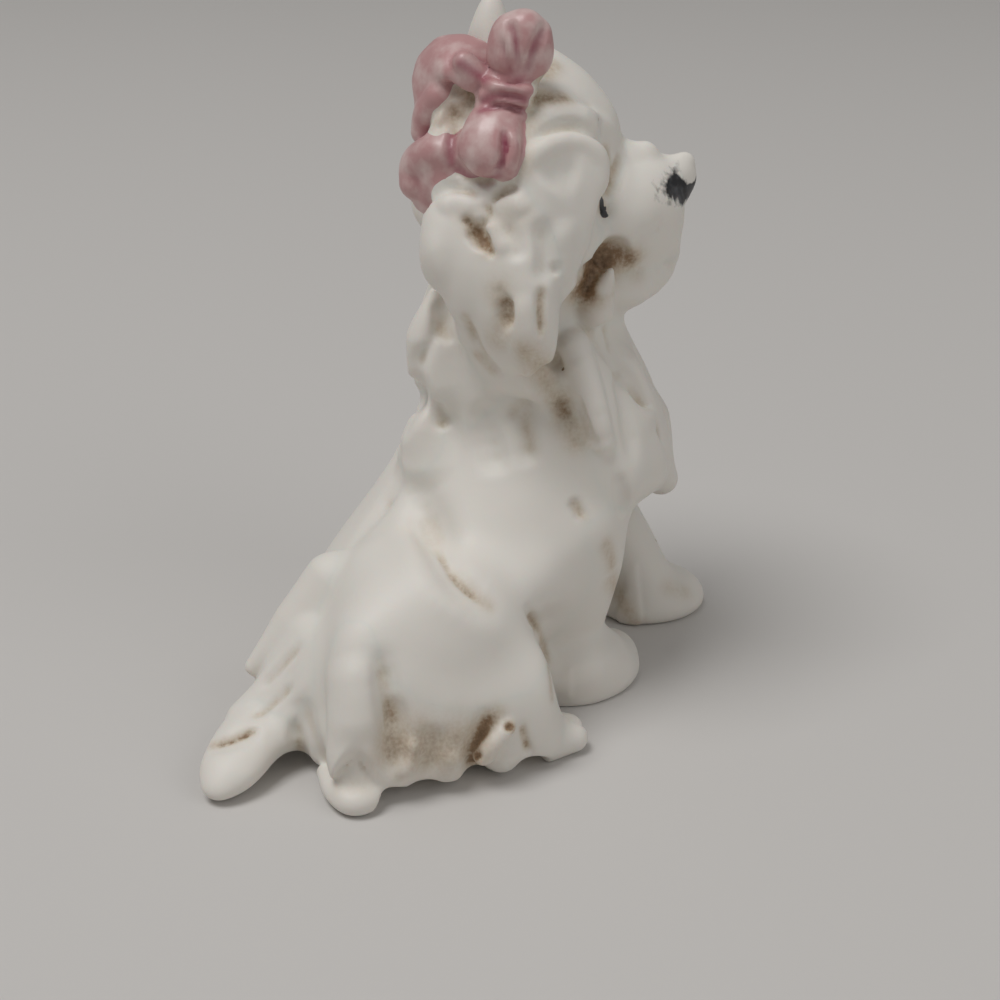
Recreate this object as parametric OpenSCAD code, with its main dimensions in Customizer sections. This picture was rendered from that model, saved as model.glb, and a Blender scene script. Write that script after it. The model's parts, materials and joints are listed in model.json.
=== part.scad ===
/* [Body casting] */
// Width of the body casting across the hips
hip_w = 28; // [26:0.5:31]
// Width of the body casting across the shoulders
shoulder_w = 21; // [19:0.5:24]
// Width of the neck stub
neck_w = 13; // [11:0.5:14]
// Height of the neck stub's top above the table
neck_h = 38; // [36:0.5:40]
// How far the rump reaches behind the origin
rump_back = 16.5; // [15:0.5:18]
// How far the chest reaches in front of the origin
chest_front = 15.5; // [14:0.5:17]
// How far the shoulders lean to the left of the hips
lean = 4; // [2:0.5:5]
// Height of the right haunch
right_haunch_h = 18; // [16:0.5:20]
// Height of the left haunch, which is tucked under
left_haunch_h = 11.5; // [10.5:0.5:15]
// Thickness of the cast wall
wall = 2.2; // [1.5:0.1:3]
// Diameter of the vent hole in the base
vent_d = 3.6; // [2:0.2:3.8]

/* [Head] */
// Angle by which the head is turned to the right
head_turn = 15; // [0:1:20]
// Width of the head
head_w = 18; // [16:0.5:20]
// Length of the head from brow to occiput
head_len = 16; // [14.5:0.5:18]
// Height of the head
head_h = 18.4; // [17:0.2:20]
// Height of the middle of the head above the neck stub's top
head_above = 6.8; // [5.8:0.2:7.8]
// How far the muzzle stands out in front of the brow
muzzle_len = 5; // [4:0.2:7]
// Width of the muzzle across the lips
muzzle_w = 13; // [11:0.5:15]
// Height of the upper muzzle
muzzle_h = 10.4; // [9:0.2:12]
// Height of the chin and its beard
chin_h = 5; // [4:0.2:6]
// Width of the nose pad
nose_w = 4.4; // [3.2:0.2:5.6]
// Diameter of an eyeball
eye_d = 3; // [2:0.2:4]

/* [Ears and topknot] */
// Length of an ear from its root to its longest lock's tip
ear_len = 17; // [14:0.5:19]
// Width of an ear from its back edge to its front edge
ear_w = 10; // [8:0.5:12]
// Thickness of an ear
ear_t = 3.6; // [2.6:0.2:5]
// Width of a lock of cheek hair
cheek_w = 4; // [3:0.2:5]
// Thickness of the cheek hair
cheek_t = 3; // [2:0.2:4]
// How far the topknot stands up above the head
topknot_len = 5.6; // [4:0.2:8]
// Width of the topknot at its root
topknot_w = 5.6; // [4:0.2:7]

/* [Bow] */
// Length of a bow loop, from the knot's middle to the loop's end
loop_len = 6.6; // [5:0.2:8]
// Width of a bow loop
loop_w = 5; // [4:0.2:6]
// Thickness of a bow loop
loop_t = 4; // [3:0.2:5]
// Diameter of the knot
knot_d = 4.6; // [3.6:0.2:6]
// Width of the ribbon where it lies flat
ribbon_w = 5; // [3.6:0.2:6]
// Thickness of the ribbon
ribbon_t = 1.7; // [1.2:0.1:2.4]

/* [Legs] */
// Thickness of a foreleg above the wrist
foreleg_d = 5.8; // [4.8:0.1:6.6]
// Width of a forepaw
paw_w = 9.4; // [7.5:0.2:11]
// Length of a forepaw
paw_len = 11.6; // [9:0.2:13]
// Height of a forepaw
paw_h = 4; // [3:0.2:5]
// Distance between the middles of the forepaws, side to side
paw_gap = 10.2; // [9.6:0.2:12]
// How far the left forepaw stands ahead of the right one
stride = 11.5; // [6:0.5:12.5]
// How far a hind foot reaches in front of the haunch
hind_foot_len = 7; // [5.5:0.5:8.5]
// Width of a hind foot
hind_foot_w = 6.2; // [5:0.2:8]
// Height of a hind foot
hind_foot_h = 3.6; // [3:0.2:5]

/* [Coat] */
// Distance across the hem of the coat, from fringe to fringe
hem_w = 31; // [29:0.5:34]
// Width of a fringe lock
fringe_w = 5; // [4:0.2:6]
// Thickness of a fringe lock
fringe_t = 3.2; // [2.6:0.2:4.5]
// Number of fringe locks on each side
fringe_count = 6; // [4:1:8]
// Width of a lock of the chest ruff
ruff_w = 5.6; // [4.4:0.2:6.6]
// Thickness of the chest ruff
ruff_t = 3.7; // [3:0.2:5]
// Height of the chest ruff's lowest tip above the table
ruff_low = 14.5; // [12:0.5:16]
// Width of a lock at the nape
nape_w = 4.6; // [4:0.2:6]
// Thickness of the nape's locks
nape_t = 3; // [2:0.2:4]

/* [Tail] */
// How far the tail's tip lies to the right of its root
tail_reach = 9.5; // [7:0.5:11]
// How far the tail stands out behind the rump
tail_back = 9; // [7:0.5:10]
// Thickness of the tail
tail_d = 4; // [3.4:0.2:5]
// Width of the tail
tail_w = 6.4; // [5:0.2:8]

/* [Hidden] */

// Colours of the fired finish
bisque = "#efece6";
ribbon_pink = "#d3a0ae";
paint_black = "#2a2a2c";

// Fineness of the round forms
egg_facets = 20;
lock_sides = 10;
lock_rings = 9;
torso_rings = 12;
// Size of the block that stands for the table under the part
table = 200;
// Sides of the midline
right = -1;
left = 1;

hip = hip_w / 2;
shoulder = shoulder_w / 2;
neck = neck_w / 2;
hem = hem_w / 2;

// Values at the torso's stations, from the base to the neck stub's top
nape_line = -1;
belly_line = -3;
neck_y = -6;
lean_x = lean * [0, 0, 0.05, 0.2, 0.45, 0.7, 0.9, 1, 1, 1];
back_share = [0.97, 1, 0.92, 0.76, 0.55, 0.34, 0.2, 0.11, 0.05, 0.03];
back_y = [for (s = back_share) mix(nape_line, rump_back, s)];
chest_share = [0, 0.16, 0.48, 0.84, 1, 1, 0.96, 0.88, 0.8, 0.7];
front_y = [for (s = chest_share) mix(belly_line, -chest_front, s)];
half_w = [
    hip * 0.93, hip, hip * 0.98, mix(hip, shoulder, 0.3), mix(hip, shoulder, 0.75),
    shoulder, mix(shoulder, neck, 0.35), mix(shoulder, neck, 0.8), neck, neck
];

// Share of that width that the torso has towards its front
front_share = [0.6, 0.6, 0.6, 0.66, 0.76, 0.86, 0.95, 1, 1, 1];

function mix(a, b, t) = a + (b - a) * t;
function unit(v) = v / norm(v);
function sum(list) = [for (v = list) 1] * list;
function mean(pts) = sum(pts) / len(pts);

// Smooth curve through a list of points or numbers, from its first at t = 0 to its last at t = 1
function curve(list, t) =
    let (
        n = len(list) - 1,
        s = min(max(t, 0), 0.99999) * n,
        i = floor(s),
        f = s - i,
        p0 = list[max(i - 1, 0)],
        p1 = list[i],
        p2 = list[i + 1],
        p3 = list[min(i + 2, n)],
        slope = p2 - p0,
        bend = 2 * p0 - 5 * p1 + 4 * p2 - p3,
        twist = 3 * p1 - p0 - 3 * p2 + p3
    )
    p1 + (slope * f + bend * f ^ 2 + twist * f ^ 3) / 2;

// Closed solid through a list of rings with equal numbers of points
module skin(rings) {
    n = len(rings[0]);
    m = len(rings);
    points = concat([for (r = rings) each r], [mean(rings[0]), mean(rings[m - 1])]);
    sides = [
        for (i = [0 : m - 2], j = [0 : n - 1])
            let (a = i * n + j, b = i * n + (j + 1) % n)
                each [[a, b + n, b], [a, a + n, b + n]]
    ];
    ends = [
        for (j = [0 : n - 1])
            let (k = (j + 1) % n)
                each [[m * n, j, k], [m * n + 1, (m - 1) * n + k, (m - 1) * n + j]]
    ];
    polyhedron(points, concat(sides, ends));
}

// Ellipse round a point of a path, square to the path, with its short way along out
function lock_ring(path, w, h, outs, t) =
    let (
        step = 0.02,
        along = unit(curve(path, t + step) - curve(path, t - step)),
        out = curve(outs, t),
        up = unit(out - (out * along) * along),
        across = cross(up, along)
    )
    [
        for (j = [0 : lock_sides - 1])
            let (a = 360 * j / lock_sides)
                curve(path, t) + across * curve(w, t) * cos(a) + up * curve(h, t) * sin(a)
    ];

// Tapered lock of clay along a path, w wide and h thick, with the shares of both along the path.
// Its broad face looks along outs, which is one direction or a list of them.
module lock(path, w, h, shares, outs) {
    faces_to = is_list(outs[0]) ? outs : [outs, outs];
    skin([
        for (i = [0 : lock_rings - 1])
            lock_ring(path, w / 2 * shares, h / 2 * shares, faces_to, i / (lock_rings - 1))
    ]);
}

// Shares of a leaf-shaped lock, of a spike, of a puffed loop, of a flat strip, of a leg and of a blunt foot
leaf = [0.5, 0.9, 1, 0.9, 0.25];
spike = [1, 1, 0.8, 0.5, 0.15];
puff = [0.4, 0.8, 1, 0.9, 0.3];
strip = [0.8, 1, 1, 1, 0.7];
limb = [1.4, 1.25, 1.05, 1.1, 1.35];
blunt = [1, 1, 0.95, 0.8, 0.3];

module egg(at, r) {
    translate(at)
        scale(r)
            sphere(r = 1, $fn = egg_facets);
}

module under_table() {
    translate([-table / 2, -table / 2, -table])
        cube(table);
}

// Body casting

// Point on the torso at an angle round it and a height, standing off its surface
function torso_at(a, z, off) =
    let (
        t = z / neck_h,
        mid = (curve(back_y, t) + curve(front_y, t)) / 2,
        half_d = (curve(back_y, t) - curve(front_y, t)) / 2,
        narrow = mix(1, curve(front_share, t), max(0, -sin(a)))
    )
    [curve(lean_x, t) + (curve(half_w, t) * narrow + off) * cos(a), mid + (half_d + off) * sin(a), z];

function torso_ring(t, off) =
    [for (j = [0 : egg_facets - 1]) torso_at(360 * j / egg_facets, neck_h * t, off)];

module torso() {
    skin([for (i = [0 : torso_rings - 1]) torso_ring(i / (torso_rings - 1), 0)]);
}

// Half width and half length of a thigh and of its knee, and radius of the hock and of the heel
thigh = [6.2, 9.4];
knee = [5.4, 4.4];
hock_r = 4;
heel_r = 3;
// Radius of the loin, which joins a thigh to the back
loin_r = 5.2;
// How far back the middle of each thigh lies
right_thigh_y = 6;
left_thigh_y = 3.6;

module thigh_egg(side, h, y) {
    egg([side * (hip - 0.8 * thigh.x), y, 0.47 * h], [thigh.x, thigh.y, 0.53 * h]);
}

module haunch(side, h, y) {
    hull() {
        thigh_egg(side, h, y);
        egg([side * 0.7 * loin_r, y + 0.21 * thigh.y, 0.68 * h], loin_r * [1, 1, 1]);
    }
    hull() {
        thigh_egg(side, h, y);
        egg([side * (hip - 0.83 * knee.x), 0.11 * knee.y, 0.4 * h], [knee.x, knee.y, 0.36 * h]);
    }
    hull() {
        egg([side * (hip - hock_r), 0.25 * hock_r, hock_r], hock_r * [1, 1, 1]);
        egg([side * (hip - 1.17 * heel_r), -0.67 * heel_r, 0.8 * heel_r], heel_r * [1, 1, 0.8]);
    }
}

// Heights of a shoulder's swelling, of its upper arm and of the withers
shoulder_z = 22;
arm_z = 14;
withers_z = 25;
// Where the shoulders' middles lie from front to back
shoulder_y = -7;
// Half width of a shoulder's swelling
arm_r = 3.2;
// Radius of the rump's swelling
rump_r = 6;

module shoulder_swell(side) {
    hull() {
        egg(
            [lean + side * (shoulder - 0.81 * arm_r), shoulder_y, shoulder_z],
            arm_r * [1, 1.75, 1.88]);
        egg(
            [lean + side * (shoulder - 0.62 * arm_r), shoulder_y - 0.16 * arm_r, arm_z],
            arm_r * [1, 1.25, 1.4]);
    }
}

module body_form() {
    difference() {
        union() {
            torso();
            haunch(right, right_haunch_h, right_thigh_y);
            haunch(left, left_haunch_h, left_thigh_y);
            for (side = [right, left])
                shoulder_swell(side);
            hull() {
                egg([-0.83 * rump_r, rump_back - rump_r, rump_r], rump_r * [1, 1, 1]);
                egg([0.5 * rump_r, rump_back - rump_r, 0.83 * rump_r], rump_r * [1, 1, 0.83]);
                egg([-1.5 * rump_r, rump_back - 0.4 * rump_r, 0.53 * rump_r], 0.58 * rump_r * [1, 1, 1]);
            }
            hull() {
                egg([lean - 0.08 * neck, neck_y + 0.31 * neck, withers_z], neck * [1.15, 0.77, 0.77]);
                egg([lean, neck_y + 0.08 * neck, withers_z + 0.92 * neck], neck * [1.05, 0.85, 0.62]);
            }
        }
        under_table();
    }
}

// Height of the hollow's top, as a share of the neck stub's height
hollow_top = 0.66;
hollow_rings = 8;
// Where the vent hole lies behind the origin
vent_y = 5;

module body_cavity() {
    low = wall / neck_h;
    skin([for (i = [0 : hollow_rings]) torso_ring(mix(low, hollow_top, i / hollow_rings), -wall)]);
}

module body_shell() {
    color(bisque)
        difference() {
            body_form();
            body_cavity();
            translate([0, vent_y, -wall])
                cylinder(d = vent_d, h = 3 * wall, $fn = egg_facets);
        }
}

// Head, in a frame of its own that stands on the neck's axis

head_r = [head_w / 2, head_len / 2, head_h / 2];
head_mid = [0, -0.06 * head_r.y, neck_h + head_above];

// Half sizes, and a place from the head's middle, in shares of the head's half sizes
function of_head(x, y, z) = [x * head_r.x, y * head_r.y, z * head_r.z];
function at_head(x, y, z) = head_mid + of_head(x, y, z);

module on_head() {
    translate([lean, neck_y, 0])
        rotate([0, 0, -head_turn])
            children();
}

module on_side(side) {
    mirror([side == left ? 1 : 0, 0, 0])
        children();
}

module head_form() {
    hull() {
        egg(at_head(0, 0.05, 0), of_head(1, 0.95, 1));
        egg(at_head(0, -0.12, -0.05), of_head(0.87, 0.88, 0.89));
    }
    hull() {
        egg(at_head(0, -0.09, 0.8), of_head(0.45, 0.32, 0.28));
        egg(at_head(0, -0.4, 0.62), of_head(0.45, 0.32, 0.28));
        egg(at_head(0, -0.64, 0.4), of_head(0.42, 0.3, 0.26));
        egg(at_head(0, -0.76, 0.15), of_head(0.36, 0.24, 0.22));
    }
    hull() {
        egg(at_head(0, 0.06, -0.65), of_head(0.84, 0.85, 0.49));
        egg(at_head(0, 0.05, -1.2), [1.2 * neck, neck, 0.3 * neck]);
    }
    for (side = [right, left])
        on_side(side) {
            hull() {
                egg(at_head(-0.56, -0.19, -0.22), of_head(0.44, 0.57, 0.54));
                egg(at_head(-0.51, -0.3, -0.65), of_head(0.38, 0.47, 0.33));
            }
            hull() {
                egg(at_head(-0.33, -0.52, 0.28), of_head(0.29, 0.3, 0.26));
                egg(at_head(-0.58, -0.35, 0.33), of_head(0.27, 0.3, 0.26));
            }
            hull() {
                egg(at_head(-0.67, 0.62, 0.05), of_head(0.27, 0.28, 0.28));
                egg(at_head(-0.8, 0.12, 0.22), of_head(0.22, 0.3, 0.28));
            }
        }
}

module head_shell() {
    color(bisque)
        difference() {
            on_head()
                head_form();
            body_form();
        }
}

// Cuts a piece to the seat that the body, the head and the table give it
module seated() {
    difference() {
        children();
        body_form();
        on_head()
            head_form();
        under_table();
    }
}

// Muzzle

face_y = head_mid.y - head_r.y;
muzzle_mid = at_head(0, 0, -0.41);

function face_ring(y, z, w, h) =
    [
        for (j = [0 : egg_facets - 1])
            let (a = 360 * j / egg_facets)
                [w * cos(a), y, z + h * sin(a)]
    ];

module muzzle_form() {
    half = muzzle_w / 2;
    tall = muzzle_h / 2;
    z = muzzle_mid.z;
    skin([
        face_ring(face_y + muzzle_len, z, 0.94 * half, 0.94 * tall),
        face_ring(face_y + 0.2 * muzzle_len, z, half, tall),
        face_ring(face_y - 0.35 * muzzle_len, z, 0.97 * half, 0.97 * tall),
        face_ring(face_y - 0.68 * muzzle_len, z, 0.86 * half, 0.88 * tall),
        face_ring(face_y - 0.9 * muzzle_len, z, 0.64 * half, 0.7 * tall),
        face_ring(face_y - muzzle_len, z, 0.3 * half, 0.36 * tall)
    ]);
}

module chin_form() {
    half = muzzle_w / 2;
    tall = chin_h / 2;
    z = muzzle_mid.z - muzzle_h / 2;
    skin([
        face_ring(face_y + 1.2 * muzzle_len, z - 0.16 * tall, 0.76 * half, tall),
        face_ring(face_y + 0.4 * muzzle_len, z - 0.12 * tall, 0.84 * half, tall),
        face_ring(face_y - 0.2 * muzzle_len, z - 0.04 * tall, 0.8 * half, 0.98 * tall),
        face_ring(face_y - 0.6 * muzzle_len, z + 0.12 * tall, 0.64 * half, 0.88 * tall),
        face_ring(face_y - 0.9 * muzzle_len, z + 0.32 * tall, 0.36 * half, 0.6 * tall)
    ]);
}

module nose_form() {
    egg(muzzle_mid + [0, -head_r.y - 0.9 * muzzle_len, 0.26 * muzzle_h], nose_w * [0.5, 0.34, 0.45]);
}

module eye_form() {
    egg(at_head(-0.71, -0.62, -0.16), eye_d * [0.5, 0.5, 0.5]);
}

module muzzle() {
    color(bisque)
        seated()
            on_head()
                muzzle_form();
}

module chin_beard() {
    color(bisque)
        seated()
            on_head()
                difference() {
                    chin_form();
                    muzzle_form();
                }
}

module nose_pad() {
    color(paint_black)
        seated()
            on_head()
                difference() {
                    nose_form();
                    muzzle_form();
                }
}

module eye(side) {
    color(paint_black)
        seated()
            on_head()
                difference() {
                    on_side(side)
                        eye_form();
                    muzzle_form();
                }
}

module right_eye() {
    eye(right);
}

module left_eye() {
    eye(left);
}

// Ears and cheek hair, shaped for the right side

module ear_form() {
    top = head_mid.z + 0.22 * head_r.z;
    back = 0.6 * ear_w;
    for (i = [0 : 3]) {
        u = i / 3;
        drop = ear_len * mix(0.58, 1, sin(90 * u));
        root_x = -(head_r.x - ear_t * mix(0.67, 0.17, u));
        tip_x = -(head_r.x + ear_t * mix(-0.33, 0.78, u));
        root = [root_x, back - ear_w * mix(0, 0.5, u), top + ear_t * mix(-0.42, 0.11, u)];
        tip = [tip_x, back + ear_w * mix(0.06, -0.64, u), top - drop];
        bulge = mix(root, tip, 0.5) + [-0.5 * ear_t, 0.02 * ear_w, 0];
        lock([root, bulge, tip], 0.42 * ear_w, ear_t, leaf, [-1, mix(0.6, 0, u), 0.2]);
    }
}

module ear(side) {
    color(bisque)
        seated()
            on_head()
                on_side(side)
                    ear_form();
}

module right_ear() {
    ear(right);
}

module left_ear() {
    ear(left);
}

module cheek_form() {
    for (i = [0 : 2]) {
        u = i / 2;
        lock([
                at_head(-0.56, mix(0.19, -0.12, u), 0.74),
                at_head(-mix(0.96, 0.82, u), mix(-0.02, -0.42, u), 0.37),
                at_head(-mix(1.09, 0.96, u), mix(-0.05, -0.45, u), -0.22),
                at_head(-mix(1.18, 0.98, u), mix(-0.08, -0.42, u), mix(-1.02, -0.8, u))
            ],
            cheek_w, cheek_t, leaf, [-1, -0.3, 0.2]);
    }
}

module cheek(side) {
    color(bisque)
        seated()
            on_head()
                difference() {
                    on_side(side)
                        difference() {
                            cheek_form();
                            ear_form();
                            eye_form();
                        }
                    muzzle_form();
                    chin_form();
                }
}

module right_cheek() {
    cheek(right);
}

module left_cheek() {
    cheek(left);
}

// Topknot and bow

crown = at_head(0, 0.32, 0.93);
knot_at = at_head(-0.64, 0.3, 0.78);

module topknot_form() {
    steps = [[0, 0, -0.36], [0, 0.04, 0.4], [0.04, 0, 1.1]];
    lock([for (s = steps) crown + topknot_len * s], topknot_w, topknot_w, spike, [-1, 0, 0]);
}

module knot_form() {
    for (k = [-1 : 1])
        egg(knot_at + knot_d * [0, -0.08, 0.27] * k, knot_d * [0.5, 0.5, 0.22]);
}

module upper_loop_form() {
    end = knot_at + loop_len * [-0.1, -0.28, 0.95];
    belly = mix(knot_at, end, 0.55) - loop_len * [0.09, 0, 0];
    lock([knot_at, belly, end], loop_w, loop_t, puff, [-1, 0.2, 0.2]);
}

module lower_loop_form() {
    end = knot_at + loop_len * [-0.58, 0.26, -0.82];
    belly = mix(knot_at, end, 0.6) + loop_len * [-0.12, 0, 0.05];
    lock([knot_at, belly, end], loop_w, loop_t, puff, [-1, 0.3, 0.5]);
}

module upper_tail_form() {
    steps = [[0, 0, 0], [0.16, 0.3, 0.24], [0.31, 0.55, 0.24], [0.38, 0.7, -0.04], [0.4, 0.72, -0.46]];
    outs = [[-0.9, -0.2, 0.6], [-0.7, 0, 1], [-0.4, 0.6, 0.6], [-0.3, 1, 0]];
    lock([for (s = steps) knot_at + of_head(s.x, s.y, s.z)], ribbon_w, ribbon_t, strip, outs);
}

module lower_tail_form() {
    steps = [[0, 0, 0], [-0.07, 0.45, -0.33], [0.07, 0.72, -0.63], [0.13, 0.7, -1.04]];
    lock([for (s = steps) knot_at + of_head(s.x, s.y, s.z)], ribbon_w, ribbon_t, strip, [-0.7, 1, 0.2]);
}

module topknot() {
    color(bisque)
        seated()
            on_head()
                topknot_form();
}

module bow_knot() {
    color(ribbon_pink)
        seated()
            on_head()
                difference() {
                    knot_form();
                    topknot_form();
                    cheek_form();
                }
}

module bow_upper_loop() {
    color(ribbon_pink)
        seated()
            on_head()
                difference() {
                    upper_loop_form();
                    knot_form();
                    topknot_form();
                    cheek_form();
                }
}

module bow_lower_loop() {
    color(ribbon_pink)
        seated()
            on_head()
                difference() {
                    lower_loop_form();
                    knot_form();
                    ear_form();
                    cheek_form();
                }
}

module ribbon_upper_tail() {
    color(ribbon_pink)
        seated()
            on_head()
                difference() {
                    upper_tail_form();
                    knot_form();
                    upper_loop_form();
                    lower_loop_form();
                    topknot_form();
                }
}

module ribbon_lower_tail() {
    color(ribbon_pink)
        seated()
            on_head()
                difference() {
                    lower_tail_form();
                    knot_form();
                    lower_loop_form();
                    upper_tail_form();
                    ear_form();
                }
}

// Legs

paw_mid_x = lean - 0.16 * paw_gap;
// Where the right forepaw's middle lies from front to back
right_paw_y = -9.5;

module foreleg_form(side, ahead) {
    paw = [paw_mid_x + side * paw_gap / 2, right_paw_y - ahead, 0];
    armpit = [lean + side * shoulder, shoulder_y, shoulder_z];
    top = armpit - foreleg_d * [0.31 * side, 0.09, 0.7];
    elbow = mix(top, paw, 0.45) - [0, 0.25 * ahead, 0];
    wrist = paw + [0, 0.14 * paw_len, paw_h];
    sole = paw + [0, 0.07 * paw_len, 0.1 * paw_h];
    lock([top, elbow, wrist, sole], foreleg_d, foreleg_d, limb, [0, -1, 0]);
    egg(paw, [paw_w / 2, paw_len / 2, paw_h]);
}

module right_foreleg_form() {
    foreleg_form(right, 0);
}

module left_foreleg_form() {
    foreleg_form(left, stride);
}

module right_foreleg() {
    color(bisque)
        seated()
            right_foreleg_form();
}

module left_foreleg() {
    color(bisque)
        seated()
            left_foreleg_form();
}

module hind_foot_form() {
    z = 0.4 * hind_foot_h;
    lock([
            [-(hip - 0.54 * hind_foot_w), 0, z],
            [-(hip - 0.46 * hind_foot_w), -0.6 * hind_foot_len, z],
            [-(hip - 0.27 * hind_foot_w), -0.87 * hind_foot_len, 0.6 * z]
        ],
        hind_foot_w, hind_foot_h, blunt, [0, 0, 1]);
}

module hind_foot(side) {
    color(bisque)
        seated()
            difference() {
                on_side(side)
                    hind_foot_form();
                right_foreleg_form();
                left_foreleg_form();
            }
}

module right_hind_foot() {
    hind_foot(right);
}

module left_hind_foot() {
    hind_foot(left);
}

// Coat

module skirt_form(h, back) {
    for (i = [0 : fringe_count - 1]) {
        u = i / (fringe_count - 1);
        y = mix(back, 0, u);
        root = [-(hip - fringe_t * mix(0.81, 0.31, u)), y - 0.2 * fringe_w, mix(0.75, 0.5, u) * h];
        tip = [-hem + fringe_t * mix(0, 0.5, u), y + fringe_w * mix(0.3, -0.1, u), 0.19 * fringe_t];
        belly = mix(root, tip, 0.5) - fringe_t * [0.19, 0, 0.12];
        lock([root, belly, tip], fringe_w, fringe_t, leaf, [-1, 0, 0.3]);
    }
}

module right_skirt_form() {
    skirt_form(right_haunch_h, right_thigh_y + 0.8 * thigh.y);
}

module left_skirt_form() {
    on_side(left)
        skirt_form(left_haunch_h, left_thigh_y + 0.35 * thigh.y);
}

module right_skirt() {
    color(bisque)
        seated()
            difference() {
                right_skirt_form();
                hind_foot_form();
                right_foreleg_form();
            }
}

module left_skirt() {
    color(bisque)
        seated()
            difference() {
                left_skirt_form();
                on_side(left)
                    hind_foot_form();
                left_foreleg_form();
            }
}

// Heights of the ruff's roots and of its fullest part, and the angle between its locks
ruff_top = 0.84 * neck_h;
ruff_full = 0.68 * neck_h;
ruff_step = 20;
// Angle from the chest's middle to the lock beside each shoulder, and how far that lock sweeps back
collar_step = 75;
collar_sweep = 12;

module ruff_form() {
    for (i = [-3 : 3]) {
        a = -90 + ruff_step * i;
        low = ruff_low + 0.29 * ruff_w * abs(i);
        lock([
                torso_at(a, ruff_top, -0.13 * ruff_t),
                torso_at(a, ruff_full, 0.3 * ruff_t),
                torso_at(a, mix(low, ruff_full, 0.4), 0.45 * ruff_t),
                torso_at(a, low, 0.6 * ruff_t)
            ],
            ruff_w, ruff_t, leaf, [cos(a), sin(a), 0.1]);
    }
    for (side = [right, left]) {
        a = -90 + collar_step * side;
        lock([
                torso_at(a, ruff_top + 0.2 * ruff_w, -0.13 * ruff_t),
                torso_at(a, ruff_full + 0.35 * ruff_w, 0.4 * ruff_t),
                torso_at(a - collar_sweep * side, ruff_full - 0.6 * ruff_w, 0.4 * ruff_t)
            ],
            ruff_w, ruff_t, leaf, [cos(a), sin(a), 0.1]);
    }
}

module chest_ruff() {
    color(bisque)
        seated()
            difference() {
                ruff_form();
                on_head() {
                    muzzle_form();
                    chin_form();
                    for (side = [right, left])
                        on_side(side) {
                            ear_form();
                            cheek_form();
                        }
                }
                right_foreleg_form();
                left_foreleg_form();
            }
}

// Heights of the nape locks' roots, bellies and tips, and the angle between them
nape_top = 0.93 * neck_h;
nape_mid = 0.82 * neck_h;
nape_low = 0.67 * neck_h;
nape_step = 28;

module nape_form() {
    for (i = [-1.5 : 1 : 1.5]) {
        a = 90 - nape_step * i;
        lock([
                torso_at(a, nape_top, 0),
                torso_at(a, nape_mid, 0.25 * nape_t),
                torso_at(a, nape_low, 0.1 * nape_t)
            ],
            nape_w, nape_t, leaf, [cos(a), sin(a), 0.1]);
    }
}

module nape_ruff() {
    color(bisque)
        seated()
            difference() {
                nape_form();
                on_head()
                    for (side = [right, left])
                        on_side(side)
                            ear_form();
            }
}

// How far to the right the tail's root lies, and its height
tail_x = -2;
tail_z = 3;

module tail_form() {
    lock([
            [tail_x, rump_back - 0.54 * tail_d, tail_z],
            [tail_x - 0.35 * tail_reach, rump_back + 0.35 * tail_back, tail_z],
            [tail_x - 0.75 * tail_reach, rump_back + 0.75 * tail_back, 0.65 * tail_z],
            [tail_x - tail_reach, rump_back + tail_back, 0.3 * tail_z]
        ],
        tail_w, tail_d, blunt, [0, 0, 1]);
}

module tail() {
    color(bisque)
        seated()
            tail_form();
}

// Point behind the rump's swelling at an angle above the level of its middle, standing off its surface
function rump_at(x, a, off) =
    [x, rump_back - rump_r + (rump_r + off) * cos(a), rump_r + (rump_r + off) * sin(a)];

module rump_form() {
    for (i = [-1.5 : 1 : 1.5]) {
        x = (0.45 * i - 0.5) * fringe_w;
        tip = [x, rump_back + fringe_t * (0.81 - 0.22 * i * i), 0.31 * fringe_t];
        lock([
                rump_at(x, 60, -0.3 * fringe_t),
                rump_at(x, 25, -0.2 * fringe_t),
                rump_at(x, -5, 0),
                tip
            ],
            1.2 * fringe_w, 0.8 * fringe_t, leaf, [0, 1, 0.5]);
    }
}

module rump_locks() {
    color(bisque)
        seated()
            difference() {
                rump_form();
                hull() {
                    tail_form();
                    translate([0, 0, -tail_d])
                        tail_form();
                }
                right_skirt_form();
                left_skirt_form();
            }
}

body_shell();
head_shell();
muzzle();
chin_beard();
nose_pad();
right_eye();
left_eye();
right_ear();
left_ear();
right_cheek();
left_cheek();
topknot();
bow_knot();
bow_upper_loop();
bow_lower_loop();
ribbon_upper_tail();
ribbon_lower_tail();
nape_ruff();
chest_ruff();
right_foreleg();
left_foreleg();
right_hind_foot();
left_hind_foot();
right_skirt();
left_skirt();
rump_locks();
tail();
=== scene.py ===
# %% [markdown]
# # A bisque dog with a ribbon bow
# This lesson dresses a small porcelain dog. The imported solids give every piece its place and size, and
# the looks are modelled round them as a potter would: the pieces are pressed together as soft clay, the
# seams are rubbed, locks and folds are drawn with a modelling tool, and the fired clay is rubbed with
# brown wash and painted.

# %% Load the frame
import json
import math

import bpy
import numpy as np
import openvdb
from mathutils import Matrix, Vector


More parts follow.
